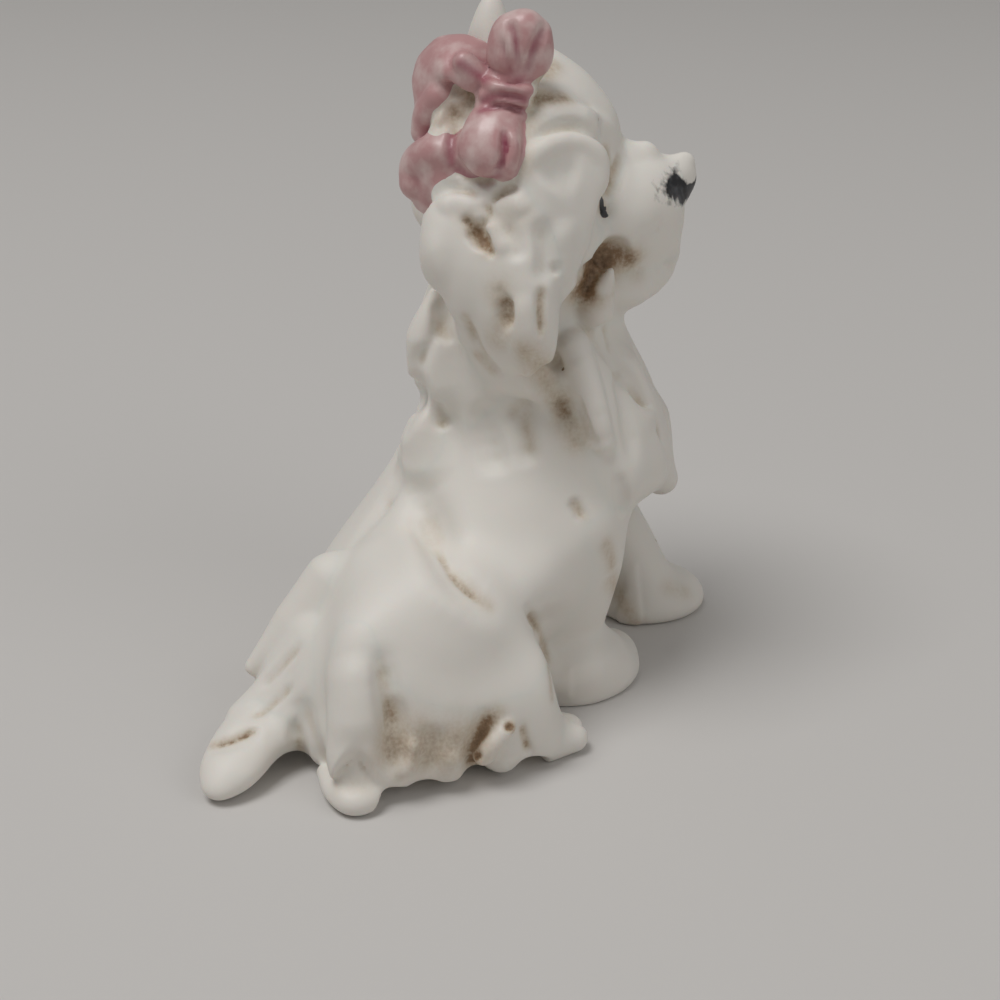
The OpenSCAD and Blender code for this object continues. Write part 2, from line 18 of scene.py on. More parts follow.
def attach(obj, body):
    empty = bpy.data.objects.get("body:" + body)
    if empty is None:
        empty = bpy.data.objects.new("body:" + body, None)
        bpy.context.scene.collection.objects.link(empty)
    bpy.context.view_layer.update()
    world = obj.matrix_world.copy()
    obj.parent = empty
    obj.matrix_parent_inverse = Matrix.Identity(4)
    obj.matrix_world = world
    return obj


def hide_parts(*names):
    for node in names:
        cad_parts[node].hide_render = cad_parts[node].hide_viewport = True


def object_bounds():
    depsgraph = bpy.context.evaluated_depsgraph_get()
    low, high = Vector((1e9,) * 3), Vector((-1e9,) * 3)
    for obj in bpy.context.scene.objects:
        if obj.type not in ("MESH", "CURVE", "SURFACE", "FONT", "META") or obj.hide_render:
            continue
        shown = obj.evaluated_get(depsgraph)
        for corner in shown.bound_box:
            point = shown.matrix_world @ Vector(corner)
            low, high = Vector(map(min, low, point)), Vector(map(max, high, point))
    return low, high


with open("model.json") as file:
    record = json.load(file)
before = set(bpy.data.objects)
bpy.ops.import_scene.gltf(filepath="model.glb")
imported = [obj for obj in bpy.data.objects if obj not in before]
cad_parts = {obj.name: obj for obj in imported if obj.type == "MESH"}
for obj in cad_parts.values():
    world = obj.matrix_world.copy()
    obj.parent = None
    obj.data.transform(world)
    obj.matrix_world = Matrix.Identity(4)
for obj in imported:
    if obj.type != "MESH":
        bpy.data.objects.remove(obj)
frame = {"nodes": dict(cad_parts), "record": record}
cad_box = [list(corner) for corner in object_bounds()]
MM = 0.001


def box_in_mm(box):
    return [[round(value / MM, 1) for value in corner] for corner in box]


print("solids:", len(frame["nodes"]), "box in mm:", box_in_mm(cad_box))

# %% [markdown]
# ## The camera
# The camera stands where the photograph was taken: a little above the dog, on its right and slightly
# behind. It could be aimed by hand in the viewport, but its focal length, in pixels of the photograph,
# gives the same view each time. It comes first, because the strokes of the modelling tool are placed by
# pixels and carried to the clay along the camera's rays.

# %% Camera
PHOTO_SIDE = 1000
FOCAL_PX = 1711
TIPPED = math.radians(25)
TURNED = math.radians(20)
EYE = np.array([-124.35, 42.36, 79.0])
NEAREST_SEEN = 0.005
UP = np.array([0.0, 0.0, 1.0])

ahead = np.array([math.cos(TURNED), -math.sin(TURNED), 0])
view_right = np.array([-math.sin(TURNED), -math.cos(TURNED), 0])
view_along = math.cos(TIPPED) * ahead - math.sin(TIPPED) * UP
view_down = -math.sin(TIPPED) * ahead - math.cos(TIPPED) * UP

camera_data = bpy.data.cameras.new("photo_camera")
camera_data.sensor_fit = "HORIZONTAL"
camera_data.lens = camera_data.sensor_width * FOCAL_PX / PHOTO_SIDE
camera_data.clip_start = NEAREST_SEEN
camera = bpy.data.objects.new("photo_camera", camera_data)
camera_turn = Matrix([view_right, -view_down, -view_along]).transposed().to_4x4()
camera.matrix_world = Matrix.Translation(Vector(EYE * MM)) @ camera_turn
bpy.context.scene.collection.objects.link(camera)
bpy.context.scene.camera = camera
print("camera at", (EYE * MM).round(3), "lens", round(camera_data.lens, 1), "mm")


def pixel_ray(px, py):
    half = PHOTO_SIDE / 2
    ray = view_along + (px - half) / FOCAL_PX * view_right + (py - half) / FOCAL_PX * view_down
    return ray / np.linalg.norm(ray)


# %% [markdown]
# ## The clay as a grid of distances
# Hair that runs from piece to piece could be sculpted by hand on one dense mesh, but a script can't
# sculpt. Soft clay is easier to model as a field: a grid of small cells, each holding its distance to the
# surface, below zero inside. Pressing two lumps together is then a rounded minimum of their fields, and a
# stroke of a tool only adds or takes away a little distance. Each solid of the frame is turned into such
# a lump with the grid library that Blender brings along. Lengths in this part are millimetres.

# %% Grid
CELL = 0.25
BAND = 3.0
MARGIN_CELLS = 10

grid_low = np.floor(np.array(cad_box[0]) / MM / CELL).astype(int) - MARGIN_CELLS
grid_high = np.ceil(np.array(cad_box[1]) / MM / CELL).astype(int) + MARGIN_CELLS
grid_shape = grid_high - grid_low + 1
axis_mm = [(grid_low[a] + np.arange(grid_shape[a])) * CELL for a in range(3)]
corners = [(i, j, k) for i in (0, 1) for j in (0, 1) for k in (0, 1)]
print("grid of", grid_shape, "cells of", CELL, "mm")


def region_round(low, high):
    """Slices of the grid that hold a box given in millimetres."""
    first = np.clip(np.floor(np.array(low) / CELL).astype(int) - grid_low, 0, grid_shape - 1)
    last = np.clip(np.ceil(np.array(high) / CELL).astype(int) - grid_low + 1, 1, grid_shape)
    return tuple(slice(a, b) for a, b in zip(first, last))


def places_in(region):
    """The place of every cell in slices of the grid."""
    return np.stack(np.meshgrid(*[axis_mm[a][region[a]] for a in range(3)], indexing="ij"), -1)


# %% Solids to lumps
def mesh_arrays(mesh):
    points = np.empty(len(mesh.vertices) * 3, np.float32)
    mesh.vertices.foreach_get("co", points)
    mesh.calc_loop_triangles()
    triangles = np.empty(len(mesh.loop_triangles) * 3, np.int32)
    mesh.loop_triangles.foreach_get("vertices", triangles)
    return points.reshape(-1, 3) / MM, triangles.reshape(-1, 3)


def lump(mesh):
    """The region of the grid round a mesh, and the mesh's field in it."""
    points, triangles = mesh_arrays(mesh)
    transform = openvdb.createLinearTransform(voxelSize=CELL)
    level_set = openvdb.FloatGrid.createLevelSetFromPolygons(
        points, triangles=triangles, transform=transform, halfWidth=BAND / CELL
    )
    region = region_round(points.min(0) - BAND, points.max(0) + BAND)
    field = np.empty([s.stop - s.start for s in region], np.float32)
    level_set.copyToArray(field, ijk=[int(s.start + o) for s, o in zip(region, grid_low)])
    return region, field


print("a lump's field reaches", BAND, "mm, or", round(BAND / CELL), "cells, from its surface")

# %% Softening and joining
BLUR_REACH = 2.5


def soften(field, sigma):
    """Gaussian blur of a field, sigma in millimetres."""
    reach = max(1, math.ceil(BLUR_REACH * sigma / CELL))
    weights = np.exp(-0.5 * (np.arange(-reach, reach + 1) * CELL / sigma) ** 2)
    weights /= weights.sum()
    for axis in range(3):
        pad = [(reach, reach) if a == axis else (0, 0) for a in range(3)]
        padded = np.pad(field, pad, mode="edge")
        count = field.shape[axis]
        total = np.zeros_like(field)
        for i, weight in enumerate(weights):
            part = tuple(slice(i, i + count) if a == axis else slice(None) for a in range(3))
            total += np.float32(weight) * padded[part]
        field = total
    return field


def rounded_min(a, b, blend):
    if blend <= 0:
        return np.minimum(a, b)
    overlap = np.maximum(blend - np.abs(a - b), 0) / blend
    return np.minimum(a, b) - overlap**2 * blend / 4


print("a blur reaches", BLUR_REACH, "times its width")

# %% [markdown]
# ## Pressing the lumps together
# The torso, the head and the legs of the real dog run into each other with wide, soft fillets, and the
# locks keep a narrow valley at their edges. A bevel can't round such joins, because the solids only
# touch. So each lump has three settings: how far its facets are rubbed, how much clay is put back for
# what the rubbing takes from thin edges, and how wide the fillet is where it meets what is already there.
# More grids remember which piece each cell belongs to, one for the white clay and one for the ribbon. The
# body is a hollow casting, and its hollow can't be seen, so it is filled here. The front of the haunch is
# cut back to the edge that the photograph shows. At the end the whole body is rubbed once more with a wet
# thumb.

# %% Settings of the lumps
# For each piece: rub, clay put back, width of the fillet.
RUB_AND_BLEND = {
    "body_shell": (1.0, 0.0, 0.0),
    "head_shell": (0.9, 0.1, 3.0),
    "right_foreleg": (0.8, 0.2, 3.5),
    "left_foreleg": (0.8, 0.2, 3.5),
    "muzzle": (0.6, 0.1, 1.8),
    "chin_beard": (0.5, 0.15, 1.6),
    "nose_pad": (0.35, 0.0, 0.9),
    "right_eye": (0.25, -0.5, 0.3),
    "left_eye": (0.25, -0.5, 0.3),
    "right_ear": (0.6, 0.2, 1.6),
    "left_ear": (0.6, 0.2, 1.6),
    "right_cheek": (0.6, 0.15, 2.0),
    "left_cheek": (0.6, 0.15, 2.0),
    "topknot": (0.35, -0.35, 2.0),
    "nape_ruff": (0.7, 0.25, 2.0),
    "chest_ruff": (1.0, 0.2, 3.0),
    "right_hind_foot": (0.5, 0.1, 1.0),
    "left_hind_foot": (0.5, 0.1, 1.0),
    "right_skirt": (0.6, 0.2, 4.0),
    "left_skirt": (0.8, 0.3, 4.0),
    "tail": (0.5, 0.1, 2.0),
    "rump_locks": (0.6, 0.1, 3.0),
    "bow_knot": (0.3, 0.0, 0.3),
    "bow_upper_loop": (0.3, -0.1, 0.3),
    "bow_lower_loop": (0.3, 0.1, 0.3),
    "ribbon_upper_tail": (0.35, 0.1, 0.3),
    "ribbon_lower_tail": (0.35, 0.1, 0.3),
}
piece_names = list(RUB_AND_BLEND)
RIBBON = [name for name in piece_names if name.startswith(("bow", "ribbon"))]
clay = np.full(grid_shape, BAND, np.float32)
nearest = {False: clay.copy(), True: clay.copy()}
owner = {False: np.zeros(grid_shape, np.int8), True: np.zeros(grid_shape, np.int8)}
print("pieces of white clay:", len(piece_names) - len(RIBBON), "of ribbon:", len(RIBBON))

# %% Lumps
HAUNCH_EDGE = [(519, 610), (531, 635), (539, 668), (545, 700), (550, 714)]
HAUNCH_CUT = ("body_shell", "right_skirt", "right_hind_foot")
CUT_OUTSIDE_X = -7.5
CUT_ABOVE_Z = 1.2
CUT_ROUNDED = 0.6
WALLS_OF_A_HOLLOW = 5
THUMB_HEIGHTS = [0, 4, 9, 30, 35]
THUMB_SHARES = [0.3, 0.3, 1, 1, 0]
THUMB_RUB = 0.8


def press_on(name, region, field, blend):
    """Adds clay to a piece and rounds the corner where it meets the rest."""
    group = name in RIBBON
    closer = field < nearest[group][region]
    owner[group][region][closer] = piece_names.index(name) + 1
    nearest[group][region] = np.minimum(nearest[group][region], field)
    clay[region] = rounded_min(clay[region], field, blend)


def plugged(field):
    """A hollow casting's field with its hollow filled: cells with clay on most sides count as clay."""
    inside = field < 0
    walls = np.zeros(field.shape, np.int8)
    for axis in range(3):
        walls += np.maximum.accumulate(inside, axis)
        walls += np.flip(np.maximum.accumulate(np.flip(inside, axis), axis), axis)
    return np.where((walls >= WALLS_OF_A_HOLLOW) & ~inside, -field, field)


def trimmed(region, field):
    """A field without the clay that stands in front of the haunch's edge, seen from the camera."""
    at = places_in(region)
    pixel_mm = (at - EYE) @ view_along / FOCAL_PX
    px = PHOTO_SIDE / 2 + (at - EYE) @ view_right / pixel_mm
    py = PHOTO_SIDE / 2 + (at - EYE) @ view_down / pixel_mm
    edge_x, edge_y = np.array(HAUNCH_EDGE).T
    past_edge = np.minimum(px - np.interp(py, edge_y, edge_x), py - edge_y[0]) * pixel_mm
    cut = np.minimum(np.minimum(past_edge, CUT_OUTSIDE_X - at[..., 0]), at[..., 2] - CUT_ABOVE_Z)
    return -rounded_min(-field, -cut.astype(np.float32), CUT_ROUNDED)


for name, (rub, grow, blend) in RUB_AND_BLEND.items():
    region, field = lump(frame["nodes"][name].data)
    if name == "body_shell":
        field = plugged(field)
    if name in HAUNCH_CUT:
        field = trimmed(region, field)
    press_on(name, region, soften(field, rub) - grow, blend)
thumb = np.interp(axis_mm[2], THUMB_HEIGHTS, THUMB_SHARES).astype(np.float32)
clay = clay + thumb * (soften(clay, THUMB_RUB) - clay)
print("lumps pressed together:", len(piece_names))

# %% [markdown]
# ## The modeller's tools
# A potter's tools could be copied as brush strokes of the sculpt mode, but those need a hand on the
# mouse. Here a stroke is a line drawn over pixels of the photograph. Each pixel is carried along its ray
# until it touches the clay, and the clay near the line is raised or lowered. A sharp stroke leaves the V
# of a wooden tool, a soft one the dent of a finger. A scoop takes out a round hollow, and a coil adds a
# roll of clay. The strokes of the face are repeated on its far side, which the photograph doesn't show.

# %% Reading the field
TINY = 1e-6


def sample(grid, at):
    """Values of a grid at points in millimetres, mixed from the eight cells round each."""
    place = np.asarray(at) / CELL - grid_low
    first = np.clip(np.floor(place).astype(int), 0, grid_shape - 2)
    part = np.clip(place - first, 0, 1)
    value = 0
    for corner in corners:
        weight = np.prod(np.where(np.array(corner) == 1, part, 1 - part), -1)
        value = value + weight * grid[tuple((first + corner).T)]
    return value


def outward(at):
    """The direction out of the clay at points on it."""
    steps = CELL * np.eye(3)
    normal = np.stack([sample(clay, at + s) - sample(clay, at - s) for s in steps], -1)
    return normal / np.maximum(np.linalg.norm(normal, axis=-1, keepdims=True), TINY)


print("cells of clay:", int((clay < 0).sum()))

# %% Finding places
RAY_STEPS = np.arange(95, 215, 0.15)
PUSH_STEPS = np.arange(0, 60, 0.1)


def first_clay(start, way, steps):
    """The first place in the clay on the way from a start, or else the place nearest to clay."""
    line = np.array(start, float) + steps[:, None] * np.array(way, float)
    depth = sample(clay, line)
    inside = np.flatnonzero(depth < 0)
    return line[inside[0] if len(inside) else depth.argmin()]


def touch(pixels):
    """Places on the clay under pixels of the photograph."""
    return np.array([first_clay(EYE, pixel_ray(px, py), RAY_STEPS) for px, py in pixels])


def pushed(starts, way):
    """Places where a finger that starts in the air and moves one way meets the clay."""
    return np.array([first_clay(start, way, PUSH_STEPS) for start in starts])


print("clay under the middle of the photograph, mm:", touch([(PHOTO_SIDE / 2, PHOTO_SIDE / 2)]).round(1))

# %% Lines, planes and the far side
STROKE_STEP_PX = 7
HEAD_PIVOT = np.array([4.0, -6.0, 0.0])
HEAD_TURN = math.radians(-15)
SLIDES = 8
SLIDE_SHARE = 0.8
head_side = np.array([math.cos(HEAD_TURN), math.sin(HEAD_TURN), 0])
forward = np.array([head_side[1], -head_side[0], 0])


def spline(knots, steps):
    """Places on a smooth curve through knots, at steps counted in knots."""
    ends = np.vstack([2 * knots[0] - knots[1], knots, 2 * knots[-1] - knots[-2]])
    first = np.minimum(steps.astype(int), len(knots) - 2)
    t = (steps - first)[:, None]
    a, b, c, d = (ends[first + i] for i in range(4))
    return (2 * b + (c - a) * t + (2 * a - 5 * b + 4 * c - d) * t**2 + (3 * b - a - 3 * c + d) * t**3) / 2


def traced(pixels):
    """A smooth line through pixels, as places on the clay."""
    pixels = np.array(pixels, float)
    counts = [max(1, int(np.hypot(*step) / STROKE_STEP_PX)) for step in np.diff(pixels, axis=0)]
    steps = [i + np.arange(count) / count for i, count in enumerate(counts)]
    return touch(spline(pixels, np.concatenate(steps + [[len(counts)]])))


def on_far_side(path):
    """The same line on the other side of the head, slid on to the clay there."""
    mirrored = path - 2 * ((path - HEAD_PIVOT) @ head_side)[:, None] * head_side
    for _ in range(SLIDES):
        mirrored = mirrored - SLIDE_SHARE * sample(clay, mirrored)[:, None] * outward(mirrored)
    return mirrored


def at_plane(pixels, point, normal):
    """Where the rays of pixels meet a plane."""
    rays = np.array([pixel_ray(px, py) for px, py in pixels])
    return EYE + rays * (((point - EYE) @ normal) / (rays @ normal))[:, None]


def at_x(pixels, x):
    return at_plane(pixels, np.array([x, 0, 0]), np.array([1.0, 0, 0]))


def at_height(pixels, z):
    return at_plane(pixels, np.array([0, 0, z]), UP)


def beside_head(pixels, x):
    """Places over pixels, x millimetres from the head's middle plane."""
    return at_plane(pixels, HEAD_PIVOT + x * head_side, head_side)


print("the head looks towards", forward.round(2))

# %% Clay along a path
NEAR_SURFACE = 0.9 * BAND


def cells_near(path, margin):
    """Cells near the surface round a path: their indices and their places."""
    region = region_round(path.min(0) - margin, path.max(0) + margin)
    found = np.argwhere(np.abs(clay[region]) < NEAR_SURFACE) + [s.start for s in region]
    return tuple(found.T), (found + grid_low) * CELL


def along(path, at):
    """Distance of points from a path, and how far along it they lie from 0 to 1."""
    if len(path) == 1:
        return np.linalg.norm(at - path[0], axis=-1), np.full(len(at), 0.5)
    lengths = np.linalg.norm(np.diff(path, axis=0), axis=1)
    before = np.concatenate([[0], np.cumsum(lengths)])
    best = np.full(len(at), np.inf)
    share = np.zeros(len(at))
    for start, end, length, passed in zip(path, path[1:], lengths, before):
        if length < TINY:
            continue
        t = np.clip((at - start) @ (end - start) / length**2, 0, 1)
        distance = np.linalg.norm(at - start - t[:, None] * (end - start), axis=-1)
        closer = distance < best
        best = np.where(closer, distance, best)
        share = np.where(closer, (passed + t * length) / before[-1], share)
    return best, share


def eased(share):
    """A share from 0 to 1 that starts and ends softly."""
    share = np.clip(share, 0, 1)
    return share * share * (3 - 2 * share)


def faded(share, fade):
    return eased(np.minimum(share, 1 - share) / fade) if fade else 1


print("cells within", NEAR_SURFACE, "mm of the surface:", int((np.abs(clay) < NEAR_SURFACE).sum()))

# %% Strokes, scoops and coils
STROKE_REACH = 2.5
STROKE_FADE = 0.3
SHARP_REACH = 1.8
SCOOP_END = 0.4
SCOOP_FADE = 0.4
SCOOP_BLEND = 0.4
COIL_STEPS = 8
COIL_MARGIN = 1.5


def stroke(path, width, height, fade=STROKE_FADE, sharp=False):
    """Raises the clay along a path by height, or lowers it where height is below zero."""
    cells, at = cells_near(path, STROKE_REACH * width)
    distance, share = along(path, at)
    if sharp:
        close = np.maximum(1 - distance / (SHARP_REACH * width), 0) ** 2
    else:
        close = np.exp(-((distance / width) ** 2))
    clay[cells] -= height * close * faded(share, fade)


def scoop(path, radius, depth, blend=SCOOP_BLEND):
    """Takes out a round hollow along a path."""
    path = path + (radius - depth) * outward(path)
    cells, at = cells_near(path, radius + blend)
    distance, share = along(path, at)
    hollow = distance - radius * (SCOOP_END + (1 - SCOOP_END) * faded(share, SCOOP_FADE))
    clay[cells] = -rounded_min(-clay[cells], hollow, blend)


def coil(name, path, radii, blend):
    """Presses a roll of clay, with a radius for each place of its path, on to a piece."""
    path = np.asarray(path)
    line = spline(path, np.linspace(0, len(path) - 1, COIL_STEPS * (len(path) - 1) + 1))
    reach = max(radii) + COIL_MARGIN
    region = region_round(line.min(0) - reach, line.max(0) + reach)
    at = places_in(region)
    distance, share = along(line, at.reshape(-1, 3))
    radius = np.interp(share * (len(path) - 1), np.arange(len(path)), radii)
    press_on(name, region, (distance - radius).reshape(at.shape[:3]).astype(np.float32), blend)


print("tools: stroke, scoop and coil")

# %% Sets of rolls and strokes
def roll_on(rolls, placed):
    """Presses on rolls given by name as (piece, pixels, offset, radii, blend), placed by a function."""
    for piece, pixels, offset, radii, blend in rolls.values():
        coil(piece, placed(pixels, offset), radii, blend)
    print("rolls:", ", ".join(rolls))


def draw(strokes, far_side=False):
    """Makes strokes given by name as (pixels, width, height, sharp)."""
    for pixels, width, height, sharp in strokes.values():
        path = traced(pixels)
        stroke(path, width, height, sharp=sharp)
        if far_side:
            stroke(on_far_side(path), width, height, sharp=sharp)
    print("strokes:", ", ".join(strokes))


print("sets are made by: roll_on and draw")

# %% [markdown]
# ## Body
# The haunch of a sitting dog swells out of the back without an edge, and only behind the shoulder is
# there a crease. Its hair ends in a tongue over the hip, in a hem of lobes on the table, and in tufts
# over the tail. Curves with a bevel could make the tufts, but they would stand apart from the coat. Rolls
# of clay that are pressed on grow out of it, and strokes cut the creases.

# %% Body rolls
LEVEL_ROLLS = {
    "hind toe": ("right_hind_foot", [(515, 738), (548, 738), (574, 738)], 1.2, [2.4, 1.9, 1.1], 1.0),
    "flare of the near paw": (
        "right_foreleg", [(554, 686), (585, 680), (614, 650)], 1.0, [1.6, 1.9, 1.4], 2.2,
    ),
    "bell of the near paw": (
        "right_foreleg", [(552, 668), (584, 664), (603, 647)], 3.4, [1.3, 1.7, 1.2], 2.2,
    ),
}
UPRIGHT_ROLLS = {
    "upper nape tip": ("nape_ruff", [(440, 372), (430, 335), (433, 292)], 1.5, [2.6, 1.9, 0.3], 1.8),
    "lower nape tip": ("nape_ruff", [(432, 450), (424, 420), (428, 390)], 1.5, [2.8, 1.9, 0.3], 1.8),
    "chest tip": ("chest_ruff", [(628, 428), (648, 458), (662, 478)], 4.0, [3.0, 2.0, 1.2], 3.0),
    "upper rump tuft": ("rump_locks", [(332, 580), (290, 628), (252, 666)], -1.0, [2.4, 1.8, 0.6], 1.6),
    "lower rump tuft": ("rump_locks", [(314, 645), (275, 684), (240, 713)], -4.0, [1.9, 1.5, 0.6], 1.2),
    "third rump tuft": ("rump_locks", [(300, 690), (270, 715), (250, 727)], -6.0, [1.3, 1.0, 0.4], 0.8),
}
roll_on(LEVEL_ROLLS, at_height)
roll_on(UPRIGHT_ROLLS, at_x)

# %% Body strokes
BODY_STROKES = {
    "valley behind the shoulder": (
        [(415, 470), (428, 525), (447, 567), (470, 596), (505, 622)], 1.6, -0.8, False,
    ),
    "crease behind the shoulder": ([(436, 548), (452, 576), (470, 596), (490, 613)], 0.4, -0.4, True),
    "haunch ridge": ([(392, 505), (410, 550), (435, 590), (470, 617), (515, 645)], 1.4, 0.4, False),
    "crease over the foreleg": ([(524, 602), (530, 616), (540, 634)], 0.45, -0.6, True),
    "hip tongue edge": ([(376, 640), (386, 690), (391, 740), (389, 785)], 0.9, -1.0, False),
    "crease of the hip tongue": ([(384, 690), (390, 740), (389, 780)], 0.4, -0.6, True),
    "hip tongue": ([(352, 650), (358, 710), (360, 750)], 2.0, 0.4, False),
    "dent over the tongue's lip": ([(336, 764), (354, 776), (374, 764)], 1.3, -1.8, False),
    "back edge of the tongue": ([(298, 690), (308, 735), (326, 770)], 1.0, -0.6, False),
    "crease beside the tail": ([(292, 715), (299, 742), (304, 772)], 0.6, -0.9, True),
    "tail hollow": ([(208, 746), (232, 741), (262, 727)], 0.8, -0.6, False),
    "tail groove": ([(212, 747), (235, 741), (266, 725)], 0.3, -0.5, True),
    "tuft groove": ([(305, 640), (280, 668), (256, 692)], 0.5, -0.6, True),
    "second tuft groove": ([(296, 682), (270, 706), (244, 722)], 0.45, -0.6, True),
    "crease beside the lower nape tip": ([(431, 396), (437, 412), (446, 432)], 0.6, -0.8, True),
    "crease beside the upper nape tip": ([(436, 298), (441, 320), (452, 346)], 0.6, -0.8, True),
}
draw(BODY_STROKES)

# %% Lip of the hip tongue and cuts at the nape
TONGUE_LIP = [(324, 772), (334, 790), (352, 802), (374, 794), (388, 766)]
LIP_RADII = [0.6, 0.9, 1.1, 1.0, 0.6]
LIP_HEIGHT = 1.1
coil("right_skirt", at_height(TONGUE_LIP, LIP_HEIGHT), LIP_RADII, blend=0.5)
NAPE_CUTS = {"notch": ((410, 397), 1.5), "slope of the lower lock": ((380, 410), 2.9)}
NAPE_CUT_X = (-5.0, -2.0, 1.0, 4.0, 7.0)
for pixel, radius in NAPE_CUTS.values():
    scoop(np.vstack([at_x([pixel], x) for x in NAPE_CUT_X]), radius, depth=radius, blend=0.8)
print("cut between the nape locks:", ", ".join(NAPE_CUTS))

# %% [markdown]
# ## Fringe round the base
# The coat ends on the table in a hem of rounded lobes. On the right one lock curls up, with a small hole
# at each end, and the hem is notched between the lobes. A wavy cutter could shape the hem, but its edges
# would be hard. The lobes are soft strokes and the curl is a coil. A notch is a scoop that is pulled
# along under the hem, so it also opens the shadow below the lobes.

# %% Lobes and curl
SKIRT_STROKES = {
    "first valley": ([(393, 690), (398, 735), (402, 775)], 0.9, -0.7, False),
    "first lobe": ([(412, 735), (407, 778)], 0.9, 0.5, False),
    "second valley": ([(436, 722), (430, 755), (424, 778)], 0.9, -0.8, False),
    "second lobe": ([(455, 745), (452, 780)], 0.9, 0.5, False),
    "deep valley": ([(492, 706), (482, 732), (475, 756), (475, 778)], 0.8, -1.2, False),
    "third lobe": ([(508, 748), (503, 770)], 0.9, 0.5, False),
    "last crease": ([(521, 720), (525, 740), (532, 758)], 0.4, -0.7, True),
}
draw(SKIRT_STROKES)
CURL = [(484, 753), (494, 741), (506, 727)]
CURL_STANDS_OUT = 0.25
CURL_THICK, CURL_THIN = 0.85, 0.65
curl = traced(CURL)
curl_radii = np.linspace(CURL_THICK, CURL_THIN, len(curl))
coil("right_skirt", curl + CURL_STANDS_OUT * outward(curl), curl_radii, blend=0.5)
CURL_HOLES = [(509, 727), (478, 756)]
for hole in CURL_HOLES:
    scoop(touch([hole]), radius=0.45, depth=0.4, blend=0.2)
print("holes at the ends of the curl:", len(CURL_HOLES))

# %% Notches in the right hem
NOTCHES = [(424, 770), (476, 757), (532, 752), (389, 780)]
NOTCH_HEIGHT = 0.2
NOTCH_RADIUS = 1.4
NOTCH_ALONG = np.linspace(-2, 3, 6)[:, None]
for notch in touch(NOTCHES):
    notch[2] = NOTCH_HEIGHT
    scoop(notch + NOTCH_ALONG * ahead, NOTCH_RADIUS, depth=NOTCH_RADIUS)
print("notches in the right hem:", len(NOTCHES))

# %% [markdown]
# ## The side that isn't seen
# The photograph doesn't show the left side, the front of the chest or the back. Such dogs are much alike
# on both sides, so these get plain valleys of hair. There are no pixels to draw on, so a finger is pushed
# in from the air, straight towards the clay, and the valleys are given as pairs of millimetres.

# %% Left side and back
LEFT_NOTCHES = [8.0, 4.2, 0.4]
LEFT_NOTCH_HEIGHT = 0.3
LEFT_AIR, FRONT_AIR, BACK_AIR = 30, -40, 35
TO_RIGHT, TO_BACK, TO_FRONT = (-1, 0, 0), (0, 1, 0), (0, -1, 0)
for y in LEFT_NOTCHES:
    scoop(pushed([(LEFT_AIR, y, LEFT_NOTCH_HEIGHT)], TO_RIGHT), radius=1.4, depth=1.1, blend=0.5)
LEFT_VALLEYS = {
    "left hip": [(9.5, 9.0), (8.6, 5.0), (8.0, 1.5)],
    "left thigh": [(5.0, 9.5), (4.4, 5.0), (4.2, 1.5)],
    "left knee": [(0.6, 8.0), (0.3, 5.0), (0.4, 1.5)],
    "left shoulder": [(-3.0, 21.0), (-3.6, 15.0), (-2.6, 9.5)],
}
FRONT_VALLEYS = {
    "right bib": [(-3.6, 35.0), (-4.0, 28.0), (-3.4, 18.5)],
    "middle bib": [(0.2, 36.0), (0.0, 28.0), (0.4, 18.5)],
    "left bib": [(4.2, 35.0), (4.6, 28.0), (4.2, 18.5)],
    "left breast": [(8.0, 33.0), (8.6, 27.0), (8.0, 20.0)],
}
BACK_VALLEYS = {
    "right nape": [(-4.0, 36.0), (-4.6, 31.0), (-4.0, 26.0)],
    "middle nape": [(0.6, 36.0), (0.4, 30.0), (0.8, 25.0)],
    "left nape": [(5.2, 36.0), (5.8, 31.0), (5.4, 26.5)],
    "back": [(2.4, 24.0), (1.6, 18.0), (0.4, 13.0)],
    "left loin": [(8.0, 20.0), (8.4, 15.0), (9.4, 10.0)],
}


def press_valleys(valleys, start_at, way, width, depth):
    """Presses in valleys with a finger that moves one way. A function gives where it starts."""
    for line in valleys.values():
        stroke(pushed([start_at(*place) for place in line], way), width, -depth)
    print("valleys:", ", ".join(valleys))


press_valleys(LEFT_VALLEYS, lambda y, z: (LEFT_AIR, y, z), TO_RIGHT, width=0.9, depth=0.7)
press_valleys(FRONT_VALLEYS, lambda x, z: (x, FRONT_AIR, z), TO_BACK, width=0.85, depth=0.7)
press_valleys(BACK_VALLEYS, lambda x, z: (x, BACK_AIR, z), TO_FRONT, width=0.8, depth=0.6)

# %% [markdown]
# ## Head
# The hair of the head falls from the bow in two arches, one over the brow and one that ends at the eye.
# The arches are low rolls with a groove between them. The muzzle of the solid is as wide at the nose as
# at the cheeks, and the real one narrows. A lattice could squeeze a mesh, and here the field is squeezed:
# each cell near the nose reads its value from a little farther out.

# %% Head rolls
HEAD_ROLLS = {
    "hair inside the ribbon": (
        "head_shell", [(466, 84), (456, 108), (456, 140)], -3.0, [1.6, 2.4, 2.4], 1.0,
    ),
    "tuft beside the topknot": ("head_shell", [(528, 96), (522, 66), (516, 42)], 2.2, [2.0, 1.4, 0.3], 1.2),
    "second tuft": ("head_shell", [(540, 96), (540, 72), (536, 52)], 3.6, [2.0, 1.4, 0.3], 1.2),
    "bridge of the muzzle": ("muzzle", [(634, 160), (644, 156)], -0.8, [1.6, 1.2], 0.8),
    "lower edge of the ear": (
        "right_ear", [(478, 330), (508, 366), (545, 386)], -8.6, [1.5, 1.8, 1.2], 1.6,
    ),
    "tip of the nose": ("nose_pad", [(670, 186), (680, 174), (686, 161)], 0.0, [1.7, 1.4, 0.7], 0.7),
}
roll_on(HEAD_ROLLS, beside_head)
BEHIND_LEFT_EAR = [(10.2, -4.4, 44), (10.8, -4.0, 37), (10.2, -3.4, 31)]
